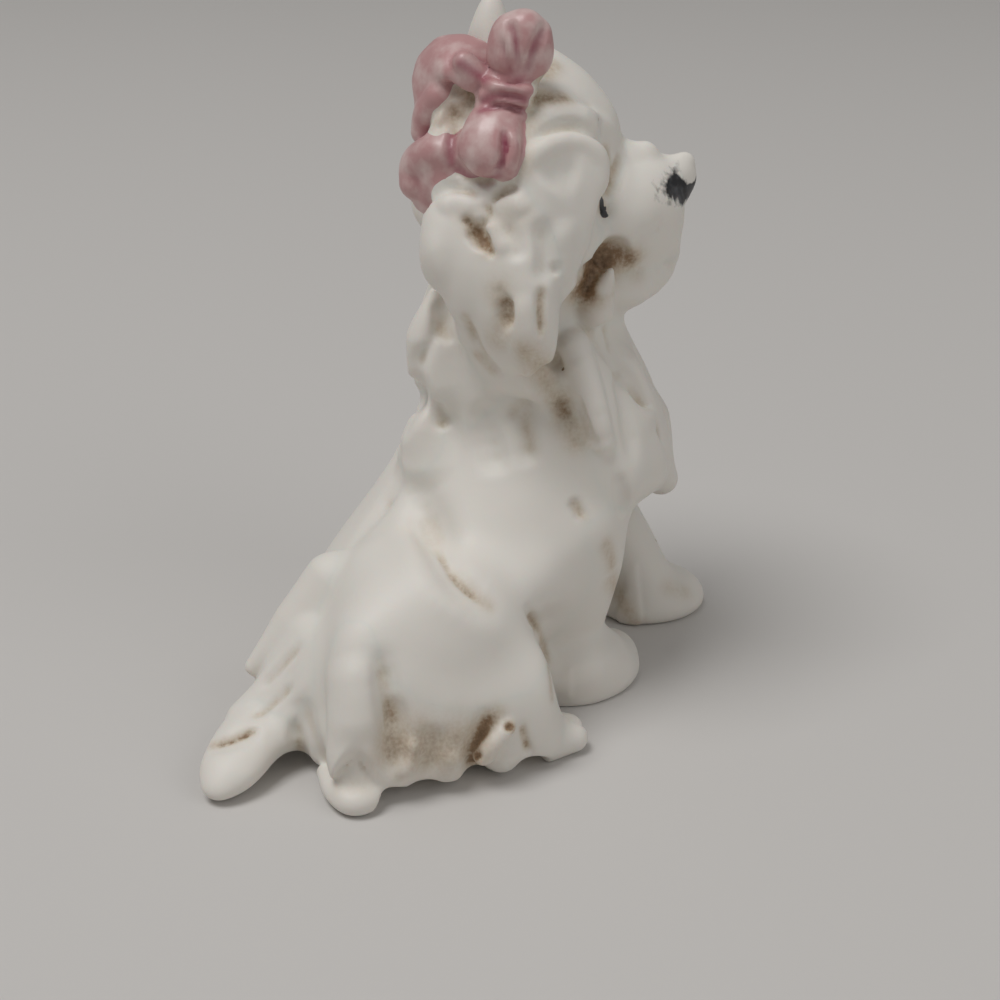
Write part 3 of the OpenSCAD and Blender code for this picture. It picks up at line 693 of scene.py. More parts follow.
coil("nape_ruff", BEHIND_LEFT_EAR, radii=[2.4, 2.8, 1.6], blend=2.0)

# %% Muzzle pinched towards the nose
PINCH_FROM = 7.0
PINCH_TO = 14.0
PINCH = 0.34
MUZZLE_BOX = ((-8, -28, 30), (12, -8, 52))
region = region_round(*MUZZLE_BOX)
spots = places_in(region).reshape(-1, 3) - HEAD_PIVOT
narrow = 1 - PINCH * eased((spots @ forward - PINCH_FROM) / (PINCH_TO - PINCH_FROM))
source = spots + ((spots @ head_side) * (1 / narrow - 1))[:, None] * head_side + HEAD_PIVOT
shape = clay[region].shape
pinched = sample(clay, source).reshape(shape)
near_white = sample(nearest[False], source).reshape(shape)
from_cell = np.clip(np.round(source / CELL).astype(int) - grid_low, 0, grid_shape - 1)
owner[False][region] = owner[False][tuple(from_cell.T)].reshape(shape)
nearest[False][region] = near_white
clay[region] = pinched
print("muzzle at the nose, share of its width:", round(1 - PINCH, 2))

# %% Head strokes
FACE_STROKES = {
    "brow arch": ([(530, 122), (560, 110), (590, 115), (612, 133), (619, 155)], 0.7, 0.5, False),
    "groove under the brow arch": (
        [(526, 147), (548, 131), (572, 126), (598, 137), (611, 158), (614, 180)], 0.45, -0.9, False,
    ),
    "eye arch": (
        [(522, 178), (536, 153), (562, 140), (586, 142), (601, 156), (605, 178), (602, 198)],
        0.6, 0.6, False,
    ),
    "dip at the temple": ([(545, 190), (560, 172), (582, 176)], 1.3, -0.4, False),
    "groove beside the muzzle": ([(622, 150), (616, 175), (606, 205), (598, 240)], 0.55, -1.0, False),
    "cheek lock": ([(560, 215), (565, 250), (562, 290)], 1.0, 0.45, False),
    "cheek valley": ([(540, 215), (545, 250), (543, 290)], 0.8, -0.6, False),
    "front of the cheek": ([(608, 197), (606, 215), (601, 245), (593, 265), (586, 285)], 0.9, -1.2, False),
    "dent of the cheek": ([(556, 262), (556, 276)], 0.5, -0.3, False),
    "under the lip": ([(680, 256), (668, 278), (646, 294)], 1.5, -0.7, False),
    "nostril": ([(668, 176), (676, 192), (680, 206)], 0.6, -0.35, False),
    "lip fold": ([(632, 240), (650, 236), (668, 222)], 0.8, -0.35, False),
}
draw(FACE_STROKES, far_side=True)

# %% [markdown]
# ## Eyes
# Each eye is a dark sliver in the groove between cheek and muzzle. A ball set in the face would stand out
# of it, so a short stroke opens the groove and the clay at its bottom is given to the eye, to be painted
# later.

# %% Eyes
EYE_PIXEL = (604, 206)
EYE_HEIGHTS = np.linspace(-0.35, 0.4, 3)[:, None]
EYE_RADIUS = 0.45


def claim(name, path, radius):
    """Gives the clay round a path to a white piece, where it covers others."""
    region = region_round(path.min(0) - radius, path.max(0) + radius)
    at = places_in(region)
    distance, _ = along(path, at.reshape(-1, 3))
    near = (distance < radius).reshape(at.shape[:3])
    nearest[True][region][near] = BAND
    nearest[False][region][near] = np.minimum(nearest[False][region][near], 0)
    owner[False][region][near] = piece_names.index(name) + 1


socket = touch([EYE_PIXEL]) + EYE_HEIGHTS * UP
for eye, path in (("right_eye", socket), ("left_eye", on_far_side(socket))):
    stroke(path, width=0.7, height=-0.3, fade=0)
    claim(eye, path, EYE_RADIUS)
print("eyes set at", socket[1].round(1))

# %% [markdown]
# ## Mouth and ears
# The ear is a curled flap with a leaf-shaped hollow under its upper rim, and the corner of the mouth is a
# deep hollow with one tuft of the beard standing in it. Scoops take out the hollows, because a cutter
# that is a closed mesh would leave hard rims. The left ear isn't seen, so it gets three plain valleys,
# and so does the back of the head.

# %% Hollows of the head
# For each hollow: pixels, radius, depth.
HEAD_HOLLOWS = {
    "corner of the mouth": ([(586, 284), (596, 268), (612, 256), (630, 262)], 1.9, 1.3),
    "leaf of the ear": ([(466, 220), (478, 234), (491, 252)], 0.9, 0.9),
    "lower ear": ([(500, 292), (508, 312), (501, 332)], 1.0, 0.7),
}
for hollow_name, (pixels, radius, depth) in HEAD_HOLLOWS.items():
    path = traced(pixels)
    scoop(path, radius, depth)
    if "mouth" in hollow_name:
        scoop(on_far_side(path), radius, depth)
BEARD_TUFT = [(596, 308), (604, 290), (611, 271)]
BEARD_TUFT_X = -6.3
coil("chin_beard", beside_head(BEARD_TUFT, BEARD_TUFT_X), radii=[1.5, 0.95, 0.3], blend=0.7)
print("hollows:", ", ".join(HEAD_HOLLOWS))

# %% Right ear
EAR_STROKES = {
    "ear top edge": ([(424, 212), (431, 196), (447, 188), (468, 190), (484, 203)], 0.5, -1.3, True),
    "second ear edge": ([(487, 206), (497, 196), (510, 189), (522, 186)], 0.45, -0.9, True),
    "ear notch": ([(486, 200), (489, 212), (482, 226)], 0.45, -0.8, True),
    "upper ear roll": ([(437, 212), (450, 203), (466, 204), (478, 214)], 0.7, 0.7, False),
    "second ear roll": ([(492, 214), (503, 206), (516, 204), (526, 216)], 0.7, 0.45, False),
    "ear rim": ([(436, 225), (434, 250), (444, 285), (460, 330)], 0.8, 0.35, False),
    "upper ear fold": ([(484, 222), (498, 236), (508, 256)], 0.6, 0.4, False),
    "valley under the fold": ([(500, 222), (514, 240), (520, 265)], 0.7, -0.4, False),
    "slot behind the cheek": ([(541, 284), (540, 312), (541, 338)], 0.4, -0.9, True),
    "ear lock edge": ([(466, 312), (474, 335), (484, 355), (505, 378)], 0.4, -0.7, True),
    "lower ear lobe": ([(520, 290), (524, 330), (530, 360)], 0.9, 0.5, False),
}
draw(EAR_STROKES)

# %% Left ear and back of the head
BESIDE_EAR = 25
BEHIND_HEAD = 30
LEFT_EAR_VALLEYS = {
    "front lock": [(3.2, 46.0), (3.4, 40.0), (2.8, 33.0)],
    "middle lock": [(0.6, 47.5), (0.8, 40.0), (0.2, 31.5)],
    "back lock": [(-2.2, 46.5), (-2.4, 40.0), (-2.6, 33.0)],
}
CROWN_VALLEYS = {
    "right of the parting": [(4.0, 56.0), (2.2, 50.0), (1.4, 43.0)],
    "parting": [(5.0, 56.0), (5.4, 50.0), (5.4, 42.0)],
    "left of the parting": [(6.5, 55.0), (8.6, 49.0), (9.4, 42.0)],
}


def beside_left_ear(to_front, z):
    return HEAD_PIVOT + BESIDE_EAR * head_side + to_front * forward + (0, 0, z)


press_valleys(LEFT_EAR_VALLEYS, beside_left_ear, -head_side, width=0.75, depth=0.6)
press_valleys(CROWN_VALLEYS, lambda x, z: (x, BEHIND_HEAD, z), TO_FRONT, width=0.9, depth=0.6)

# %% [markdown]
# ## Chest
# The bib is a fall of long locks, and one lock stands free beside a hollow that holds the brown wash.
# Hair curves could make the locks, but they would lie on the chest like strings. Here the hollow is
# scooped out first, the free lock is laid along its edge as a coil, and strokes part the other hair.

# %% Chest
BIB_HOLLOW = [(536, 362), (552, 390), (568, 420), (576, 440)]
BIB_LOCK = [(574, 345), (588, 385), (598, 420), (603, 442)]
LOCK_THICK, LOCK_THIN = 1.3, 0.9
scoop(traced(BIB_HOLLOW), radius=1.5, depth=0.9, blend=0.8)
lock = traced(BIB_LOCK)
coil("chest_ruff", lock, np.linspace(LOCK_THICK, LOCK_THIN, len(lock)), blend=0.4)
CHEST_STROKES = {
    "bib edge": ([(578, 392), (583, 415), (592, 438), (602, 450)], 0.45, -0.8, True),
    "hair beside the bib": ([(505, 400), (520, 430), (530, 470)], 0.9, -0.5, False),
    "hair over the shoulder": ([(478, 395), (490, 430), (500, 480)], 1.1, -0.4, False),
    "bib line": ([(604, 322), (610, 345), (613, 362)], 0.4, -0.4, False),
    "front bib lock": ([(626, 340), (640, 390), (650, 440)], 1.2, 0.4, False),
    "front bib valley": ([(614, 360), (626, 410), (636, 470)], 0.8, -0.5, False),
    "lower bib line": ([(618, 470), (622, 495), (625, 518)], 0.5, -0.4, False),
    "elbow crease": ([(570, 498), (577, 508), (583, 520)], 0.45, -0.5, True),
}
draw(CHEST_STROKES)

# %% [markdown]
# ## Knot of the bow
# The knot is the ribbon wound round itself, so its wraps are rings set along the line from loop to loop,
# each tilted a little. Rings could be copied one by one, but what repeats is made by Geometry Nodes: a
# line of points, one ring on each, and a random tilt with a fixed seed. The mesh that comes out is
# pressed on to the clay like any other lump.

# %% Node helpers
def node_group(name, inputs):
    """An empty geometry group with named inputs, and its input and output nodes."""
    group = bpy.data.node_groups.new(name, "GeometryNodeTree")
    group.interface.new_socket("Geometry", in_out="OUTPUT", socket_type="NodeSocketGeometry")
    for label, kind in inputs.items():
        group.interface.new_socket(label, in_out="INPUT", socket_type="NodeSocket" + kind)
    return group, group.nodes.new("NodeGroupInput"), group.nodes.new("NodeGroupOutput")


def add_node(tree, kind, settings=None, **inputs):
    """A node with its settings and inputs, where an input is a value or another node's output."""
    made = tree.nodes.new(kind)
    for key, value in (settings or {}).items():
        setattr(made, key, value)
    for key, value in inputs.items():
        socket = made.inputs[int(key[1:]) if key[1:].isdigit() else key.replace("_", " ")]
        if hasattr(value, "is_linked"):
            tree.links.new(value, socket)
        else:
            socket.default_value = value
    return made


def made_by(group, mesh, values):
    """The mesh that a geometry group makes with the given inputs."""
    maker = bpy.data.objects.new(group.name, mesh)
    bpy.context.scene.collection.objects.link(maker)
    modifier = maker.modifiers.new(group.name, "NODES")
    modifier.node_group = group
    for item in group.interface.items_tree:
        if item.in_out == "INPUT" and item.name in values:
            modifier[item.identifier] = values[item.name]
    made = bpy.data.meshes.new_from_object(maker.evaluated_get(bpy.context.evaluated_depsgraph_get()))
    bpy.data.objects.remove(maker)
    return made


print("node helpers: node_group, add_node and made_by")

# %% Geometry nodes for the wraps
RING_SIDES = 48
BAND_SIDES = 16
wraps, given, result = node_group("Knot wraps", {
    "Wraps": "Int", "Spacing": "Float", "Ring radius": "Float", "Flatness": "Float",
    "Band": "Float", "Tilt": "Float", "Seed": "Int", "Material": "Material",
})
size = given.outputs
step = add_node(wraps, "ShaderNodeCombineXYZ", Z=size["Spacing"])
line = add_node(wraps, "GeometryNodeMeshLine", Count=size["Wraps"], Offset=step.outputs[0])
circle = add_node(
    wraps, "GeometryNodeCurvePrimitiveCircle", Resolution=RING_SIDES, Radius=size["Ring radius"]
)
flat = add_node(wraps, "ShaderNodeCombineXYZ", X=1.0, Y=size["Flatness"], Z=1.0)
oval = add_node(wraps, "GeometryNodeTransform", Geometry=circle.outputs[0], Scale=flat.outputs[0])
section = add_node(wraps, "GeometryNodeCurvePrimitiveCircle", Resolution=BAND_SIDES, Radius=size["Band"])
ring = add_node(wraps, "GeometryNodeCurveToMesh", Curve=oval.outputs[0], Profile_Curve=section.outputs[0])
least = add_node(wraps, "ShaderNodeMath", {"operation": "MULTIPLY"}, _0=size["Tilt"], _1=-1.0)
tilts = add_node(
    wraps, "FunctionNodeRandomValue", {"data_type": "FLOAT_VECTOR"},
    _0=least.outputs[0], _1=size["Tilt"], Seed=size["Seed"],
)
rings = add_node(
    wraps, "GeometryNodeInstanceOnPoints",
    Points=line.outputs[0], Instance=ring.outputs[0], Rotation=tilts.outputs[0],
)
real = add_node(wraps, "GeometryNodeRealizeInstances", Geometry=rings.outputs[0])
finish = add_node(wraps, "GeometryNodeSetMaterial", Geometry=real.outputs[0], Material=size["Material"])
wraps.links.new(finish.outputs[0], result.inputs[0])
print("nodes for the wraps:", len(wraps.nodes))

# %% Wraps of the knot
WRAPS = 4
SPACING = 0.95
KNOT_ENDS = [(509, 88), (500, 122)]
KNOT_X = -7.2
wrap_mesh = made_by(wraps, bpy.data.meshes.new("knot_line"), {
    "Wraps": WRAPS, "Spacing": SPACING * MM, "Ring radius": 1.65 * MM, "Flatness": 0.85,
    "Band": 0.52 * MM, "Tilt": 0.2, "Seed": 5, "Material": bpy.data.materials.new("wet_ribbon"),
})
knot_top, knot_low = beside_head(KNOT_ENDS, KNOT_X)
knot_up = (knot_top - knot_low) / np.linalg.norm(knot_top - knot_low)
knot_across = view_right - (view_right @ knot_up) * knot_up
knot_across /= np.linalg.norm(knot_across)
knot_turn = Matrix([knot_across, np.cross(knot_up, knot_across), knot_up]).transposed().to_4x4()
knot_start = (knot_top + knot_low) / 2 - knot_up * SPACING * (WRAPS - 1) / 2
wrap_mesh.transform(Matrix.Translation(Vector(knot_start * MM)) @ knot_turn)
region, field = lump(wrap_mesh)
press_on("bow_knot", region, field, blend=0.05)
print("wraps:", WRAPS, "faces:", len(wrap_mesh.polygons))

# %% [markdown]
# ## Loops and ends of the bow
# A ribbon loop pinched in a knot puffs out in rolls with pleats between them that run into the knot.
# Cloth could be simulated, but this ribbon is clay too: each roll is a coil, and the pleats are drawn
# with the wooden tool. Where hair lies over the ribbon, the clay is given back to the head.

# %% Loops
BOW_ROLLS = {
    "back roll of the upper loop": (
        "bow_upper_loop", [(518, 84), (510, 54), (512, 30)], -6.6, [0.8, 1.3, 1.2], 0.5,
    ),
    "middle roll of the upper loop": (
        "bow_upper_loop", [(521, 84), (524, 50), (526, 27)], -7.0, [0.8, 1.4, 1.3], 0.5,
    ),
    "front roll of the upper loop": (
        "bow_upper_loop", [(524, 84), (538, 55), (538, 33)], -6.6, [0.8, 1.2, 1.05], 0.5,
    ),
    "lower loop": ("bow_lower_loop", [(468, 150), (474, 168), (496, 170)], -7.0, [1.3, 1.4, 1.3], 0.6),
    "ribbon under the knot": (
        "ribbon_upper_tail", [(490, 88), (474, 74), (464, 62)], -5.8, [0.8, 1.1, 0.9], 0.3,
    ),
}
RIBBON_ENDS = {
    "end of the upper ribbon": (
        "ribbon_upper_tail", [(433, 98), (424, 117), (419, 133)], 0.5, [1.1, 1.3, 1.1], 0.3,
    ),
    "bulge of the lower ribbon": (
        "ribbon_lower_tail", [(444, 152), (428, 152), (415, 162), (410, 184)],
        0.7, [1.2, 1.5, 1.6, 1.5], 0.3,
    ),
}


def sunk_in(pixels, sunk):
    """Places under the clay below pixels."""
    spots = touch(pixels)
    return spots - sunk * outward(spots)


roll_on(BOW_ROLLS, beside_head)
roll_on(RIBBON_ENDS, sunk_in)

# %% Hair round the bow, and pleats
GAP = [(472, 99), (457, 114), (441, 127)]
BESIDE_THE_KNOT = [(536, 96), (550, 96), (566, 98)]
scoop(traced(GAP), radius=1.3, depth=1.1, blend=0.3)
claim("head_shell", traced(GAP), radius=1.25)
for path in (traced(BESIDE_THE_KNOT), on_far_side(traced(BESIDE_THE_KNOT))):
    claim("head_shell", path, radius=2.0)
BOW_STROKES = {
    "upper wrap": ([(481, 101), (504, 95), (527, 99)], 0.3, -0.7, True),
    "lower wrap": ([(480, 111), (502, 106), (524, 110)], 0.3, -0.7, True),
    "edge of the lower loop": ([(459, 122), (450, 143), (452, 166)], 0.4, -1.1, True),
    "upper loop pleat": ([(508, 18), (515, 42), (519, 80)], 0.4, -1.0, True),
    "second pleat": ([(547, 24), (536, 48), (523, 80)], 0.45, -1.2, True),
    "third pleat": ([(500, 34), (505, 56), (514, 80)], 0.3, -0.5, True),
    "lower loop rim": ([(509, 128), (514, 148), (508, 172), (494, 180)], 0.45, 0.6, False),
    "groove beside the rim": ([(503, 126), (506, 146), (501, 166), (490, 172)], 0.35, -1.0, True),
    "lower loop fold": ([(453, 158), (460, 172), (474, 180), (496, 179)], 0.4, -0.9, True),
}
draw(BOW_STROKES)

# %% [markdown]
# ## Trimming at the table
# The wet dog stands on a board and is cut flat there, so nothing reaches below the table. The vent that
# lets the air out of the hollow body in the kiln is cut from below. Both are maximums of two fields,
# which need no cutter.

# %% Table
VENT_AT = (0.0, 5.0)
VENT_RADIUS = 1.8
VENT_DEEP = 6.0
height = axis_mm[2][None, None, :]
aside, behind = axis_mm[0][:, None] - VENT_AT[0], axis_mm[1][None, :] - VENT_AT[1]
vent = np.maximum(np.hypot(aside, behind)[:, :, None] - VENT_RADIUS, height - VENT_DEEP)
clay = np.maximum(clay, -height.astype(np.float32))
clay = np.maximum(clay, -vent.astype(np.float32))
print("lowest clay at mm:", float(axis_mm[2][(clay < 0).any((0, 1))].min()))

# %% [markdown]
# ## From clay to pieces
# A remesh would give one skin without pieces. Here the surface is drawn through the cells that hold both
# air and clay, or clay of two pieces: one point for each such cell, and one four-sided face between each
# pair of cells with different owners. This way the pieces are closed solids that meet exactly, and the
# outside runs on from piece to piece without a seam. Where two cells of one piece touch only along an
# edge, one more cell is filled, and crumbs of a piece that lie apart go to the piece round them.

# %% Owners of the cells
RIBBON_EDGE_RUB = 0.4
PINCH_ROUNDS = 6
is_ribbon = soften(np.clip(nearest[True] - nearest[False], -1, 1), RIBBON_EDGE_RUB) < 0
is_ribbon &= owner[True] > 0
filled = np.where(clay < 0, np.where(is_ribbon, owner[True], owner[False]), 0).astype(np.int8)


def shifted(grid, u, v, move):
    """A view of a grid, moved by a step of cells along the axes u and v."""
    cut = [slice(None)] * 3
    for axis, step in zip((u, v), move):
        cut[axis] = slice(step, grid.shape[axis] - 1 + step)
    return grid[tuple(cut)]


def close_pinches(grid, turn):
    """Closes places where two cells of one owner touch only along an edge. Returns how many there were."""
    count = 0
    level, cross = ((0, 0), (1, 1)), ((0, 1), (1, 0))
    for u, v in ((0, 1), (1, 2), (2, 0)):
        for diagonal, others in ((level, cross), (cross, level)):
            a, d = (shifted(grid, u, v, move) for move in diagonal)
            b, c = (shifted(grid, u, v, move) for move in others)
            fill = (a == d) & (a != b) & (a != c) & ((a > 0) | (b == c))
            count += int(fill.sum())
            target = (b, c)[turn % 2]
            target[fill] = a[fill]
    return count


found = [close_pinches(filled, turn) for turn in range(PINCH_ROUNDS)]
print("pinched edges closed in each round:", found)

# %% Surface points
NEAREST_TO_CORNER = 0.02
NO_SPAN = 1e-9


def corner_view(grid, corner):
    return grid[tuple(slice(c, c + n - 1) for c, n in zip(corner, grid.shape))]


edges = [
    (a, b) for a in range(8) for b in range(a + 1, 8)
    if np.abs(np.subtract(corners[a], corners[b])).sum() == 1
]
mixed = np.zeros(np.array(filled.shape) - 1, bool)
for corner in corners[1:]:
    mixed |= corner_view(filled, corner) != corner_view(filled, corners[0])
cells = np.argwhere(mixed)
point_of = np.full(mixed.shape, -1, np.int32)
point_of[mixed] = np.arange(len(cells))
marks = np.stack([corner_view(filled, c)[mixed] for c in corners], 1)
depths = np.stack([corner_view(clay, c)[mixed] for c in corners], 1)
outside = (marks == 0).any(1)
total = np.zeros((len(cells), 3))
crossings = np.zeros(len(cells))
for a, b in edges:
    air = (marks[:, a] == 0) != (marks[:, b] == 0)
    used = np.where(outside, air, marks[:, a] != marks[:, b])
    span = depths[:, a] - depths[:, b]
    share = np.where(air, depths[:, a] / np.where(np.abs(span) < NO_SPAN, 1, span), 0.5)
    share = np.clip(share, NEAREST_TO_CORNER, 1 - NEAREST_TO_CORNER)[:, None]
    total += used[:, None] * (np.array(corners[a]) * (1 - share) + np.array(corners[b]) * share)
    crossings += used
points = (cells + total / np.maximum(crossings, 1)[:, None] + grid_low) * CELL
print("surface points:", len(points), "on the outside:", int(outside.sum()))

# %% Faces between owners
face_list, inner_owner, outer_owner = [], [], []
for axis in range(3):
    u, v = [(1, 2), (2, 0), (0, 1)][axis]
    lower = tuple(slice(0, -1) if a == axis else slice(1, -1) for a in range(3))
    upper = tuple(slice(1, None) if a == axis else slice(1, -1) for a in range(3))
    differs = filled[lower] != filled[upper]
    at = np.argwhere(differs) + [0 if a == axis else 1 for a in range(3)]
    quad = []
    for du, dv in ((1, 1), (0, 1), (0, 0), (1, 0)):
        cell = at.copy()
        cell[:, u] -= du
        cell[:, v] -= dv
        quad.append(point_of[tuple(cell.T)])
    face_list.append(np.stack(quad, 1))
    inner_owner.append(filled[lower][differs])
    outer_owner.append(filled[upper][differs])
faces = np.concatenate(face_list)
owner_a = np.concatenate(inner_owner)
owner_b = np.concatenate(outer_owner)
print("faces:", len(faces), "with missing points:", int((faces < 0).sum()))

# %% Crumbs
CRUMB = 400


def links_of(quads):
    return np.concatenate([quads[:, [i, (i + 1) % 4]] for i in range(4)])


def islands(count, links):
    """A label for each point, the same for all points that links join."""
    label = np.arange(count)
    while True:
        low = np.minimum(label[links[:, 0]], label[links[:, 1]])
        joined = label.copy()
        np.minimum.at(joined, links[:, 0], low)
        np.minimum.at(joined, links[:, 1], low)
        joined = joined[joined]
        if (joined == label).all():
            return label
        label = joined


crumbs = 0
for number in range(1, len(piece_names) + 1):
    mine = np.flatnonzero((owner_a == number) | (owner_b == number))
    used, local = np.unique(faces[mine], return_inverse=True)
    local = local.reshape(-1, 4)
    label = islands(len(used), links_of(local))[local[:, 0]]
    names, sizes = np.unique(label, return_counts=True)
    for small in names[(sizes < CRUMB) & (sizes < sizes.max())]:
        crumb = mine[label == small]
        others = np.where(owner_a[crumb] == number, owner_b[crumb], owner_a[crumb])
        clay_round = others[others > 0]
        heir = np.bincount(clay_round).argmax() if len(clay_round) else 0
        owner_a[crumb] = np.where(owner_a[crumb] == number, heir, owner_a[crumb])
        owner_b[crumb] = np.where(owner_b[crumb] == number, heir, owner_b[crumb])
        crumbs += 1
kept = owner_a != owner_b
faces, owner_a, owner_b = faces[kept], owner_a[kept], owner_b[kept]
print("crumbs given to their neighbours:", crumbs)

# %% [markdown]
# ## Evening the mesh
# The points lie in the steps of the grid, and shading would show them. Smoothing alone would shrink the
# thin locks, so the points are moved towards their neighbours and then back on to the surface of the
# clay, a few times over. The borders between pieces are evened along themselves.

# %% Outside mesh relaxed on the field
RELAX_ROUNDS = 3
BORDER_ROUNDS = 2
INNER_ROUNDS = 4
FARTHEST_SETTLED = 0.2
is_skin = (owner_a == 0) | (owner_b == 0)
skin_owner = (owner_a + owner_b)[is_skin]
skin_links = links_of(faces[is_skin])


def relax(points, links, moving, rounds):
    """Moves points towards the middle of the points they are linked to."""
    start, end = np.concatenate([links, links[:, ::-1]]).T
    count = np.maximum(np.bincount(start, minlength=len(points)), 1)
    for _ in range(rounds):
        middle = np.stack([np.bincount(start, points[end, a], len(points)) / count for a in range(3)], 1)
        points = np.where(moving[:, None], 0.5 * points + 0.5 * middle, points)
    return points


def settled(points):
    """Points of the outside, moved back on to the surface of the clay."""
    depth = np.clip(sample(clay, points), -FARTHEST_SETTLED, FARTHEST_SETTLED)
    return np.where(outside[:, None], points - depth[:, None] * outward(points), points)


side = np.sort(skin_links, axis=1)
order = np.lexsort((side[:, 1], side[:, 0]))
side, side_owner = side[order], np.tile(skin_owner, 4)[order]
twin = (side[1:] == side[:-1]).all(1) & (side_owner[1:] != side_owner[:-1])
border_links = side[:-1][twin]
on_border = np.zeros(len(points), bool)
on_border[border_links.ravel()] = True
for _ in range(RELAX_ROUNDS):
    points = relax(points, skin_links, outside & ~on_border, 1)
    points = settled(relax(points, border_links, on_border, BORDER_ROUNDS))
points = relax(points, links_of(faces), ~outside, INNER_ROUNDS)
normals = outward(points)
print("relaxed; farthest from the field, mm:", float(np.abs(sample(clay, points)[outside]).max().round(3)))

# %% [markdown]
# ## Wash
# After the firing, thin brown stain is brushed on and wiped off. It stays in the hollows and leaves the
# high places white. A painted texture could carry it, but it would need an unwrapped mesh, so each point
# carries its own amount. How hollow a place is comes from the field: where the softened field lies below
# the field itself, clay stands round the place. The stronger stains are brushed along lines over the
# photograph.

# %% Hollows
FINE_RUB, WIDE_RUB = 0.4, 1.2
FINE_BAND = 1.5
# How strongly the fine and the wide hollows count.
HOLLOW_OF = (3.0, 1.2)
WASH_OF = (1.8, 0.45)
WASH_STARTS, WASH_MOST = 0.1, 0.4
# Painted shade: the ribbon is darkened in its fine hollows, by the amount kept in fold.
FOLD_SHADE_OF = 4.0
fine_hollow = -sample(soften(np.clip(clay, -FINE_BAND, FINE_BAND), FINE_RUB), points)
wide_hollow = -sample(soften(np.clip(clay, -BAND, BAND), WIDE_RUB), points)
hollow = np.clip(HOLLOW_OF[0] * fine_hollow + HOLLOW_OF[1] * wide_hollow, 0, 1)
wash = np.clip(WASH_OF[0] * fine_hollow + WASH_OF[1] * wide_hollow - WASH_STARTS, 0, WASH_MOST)
fold = np.clip(FOLD_SHADE_OF * fine_hollow, 0, 1)
print("share of points in hollows:", round(float((wash[outside] > WASH_STARTS).mean()), 3))

# %% Brushing and wiping
BRUSH_REACH = 2.5
BRUSH_MARGIN = 1
SEEN = 0.3


def near_line(line, width):
    """Points of the outside near a line, and their distances from it counted in widths."""
    reach = np.ptp(line, axis=0) / 2 + BRUSH_REACH * width + BRUSH_MARGIN
    near = outside & (np.abs(points - line.mean(0)) < reach).all(1)
    return near, along(line, points[near])[0] / width


def brush(layer, line, width, strength, kept=1.0):
    """Brushes a layer on the points near a line. Kept is the share that stays outside of hollows."""
    near, distance = near_line(line, width)
    amount = strength * np.exp(-(distance**2)) * (kept + (1 - kept) * hollow[near])
    layer[near] = np.maximum(layer[near], amount)


def wipe(layer, line, width):
    near, distance = near_line(line, width)
    layer[near] *= 1 - np.exp(-(distance**4))


print("a brush reaches", BRUSH_REACH, "widths from its line")

# %% Brushed stains
# For each stain: pixels, width, strength. The stains of the head are repeated on its far side.
HEAD_STAINS = {
    "corner of the mouth": ([(586, 286), (592, 270), (602, 256)], 1.6, 0.95),
    "upper edge of the mouth": ([(600, 258), (614, 254), (626, 258)], 1.2, 0.7),
    "front of the mouth": ([(630, 262), (636, 272)], 0.9, 0.5),
    "leaf of the ear": ([(468, 222), (480, 236), (491, 250)], 0.8, 0.7),
    "fold of the ear": ([(496, 226), (512, 216)], 1.6, 0.25),
    "lower ear": ([(500, 290), (510, 312), (499, 337)], 1.2, 0.55),
    "slot behind the cheek": ([(541, 290), (540, 312), (541, 332)], 0.4, 0.7),
}
COAT_STAINS = {
    "under the ear": ([(526, 352), (540, 368), (548, 384)], 1.2, 0.32),
    "behind the bib": ([(556, 396), (566, 415), (578, 438)], 1.2, 0.8),
    "beside the bib": ([(528, 420), (531, 445)], 0.8, 0.4),
    "ear lock": ([(466, 316), (474, 336)], 0.4, 0.5),
    "lower ear lock": ([(478, 355), (492, 370)], 0.5, 0.6),
    "beside the knot": ([(534, 98), (562, 99)], 0.8, 0.5),
    "beside the lower loop": ([(532, 112), (522, 130), (519, 168)], 1.0, 0.26),
    "beside the upper loop": ([(538, 80), (554, 66)], 0.8, 0.34),
    "between the ribbons": ([(474, 96), (456, 106), (440, 120)], 1.2, 0.6),
    "behind the shoulder": ([(455, 578), (488, 606)], 0.6, 0.5),
    "beside the hip tongue": ([(390, 702), (397, 740), (399, 776)], 0.7, 0.5),
    "second valley": ([(432, 735), (430, 765)], 1.6, 0.45),
    "between the lobes": ([(445, 745), (468, 750)], 1.4, 0.5),
    "hem": ([(398, 742), (430, 748), (466, 744)], 2.4, 0.36),
    "deep valley": ([(474, 765), (482, 735), (493, 714)], 0.9, 0.95),
    "last crease": ([(522, 728), (526, 745)], 0.4, 0.6),
    "tail": ([(214, 746), (235, 741), (250, 734)], 0.45, 0.7),
    "beside the tail": ([(299, 742), (303, 768)], 0.5, 0.7),
    "tongue's lip": ([(340, 784), (362, 786)], 1.0, 0.25),
    "far leg": ([(612, 580), (622, 600), (634, 622)], 0.9, 0.7),
    "far paw": ([(668, 588), (685, 592)], 0.9, 0.35),
    "elbow": ([(575, 506), (582, 516)], 0.5, 0.5),
    "behind the foreleg": ([(528, 614), (541, 638), (548, 668), (552, 698)], 0.35, 0.6),
    "between the forelegs": ([(606, 545), (612, 565)], 0.7, 0.7),
}
EVEN = (
    "corner of the mouth", "upper edge of the mouth", "under the ear", "hem",
    "beside the knot", "beside the lower loop", "beside the upper loop",
)
KEPT, KEPT_EVEN = 0.35, 0.85
for stain, (pixels, width, strength) in (HEAD_STAINS | COAT_STAINS).items():
    line = traced(pixels)
    stays = KEPT_EVEN if stain in EVEN else KEPT
    brush(wash, line, width, strength, stays)
    if stain in HEAD_STAINS:
        brush(wash, on_far_side(line), width, strength, stays)
WIPED_TUFT = [(604, 288), (611, 273)]
wipe(wash, traced(WIPED_TUFT), width=0.7)
for hole in CURL_HOLES:
    brush(wash, touch([hole]), width=0.45, strength=1.0)
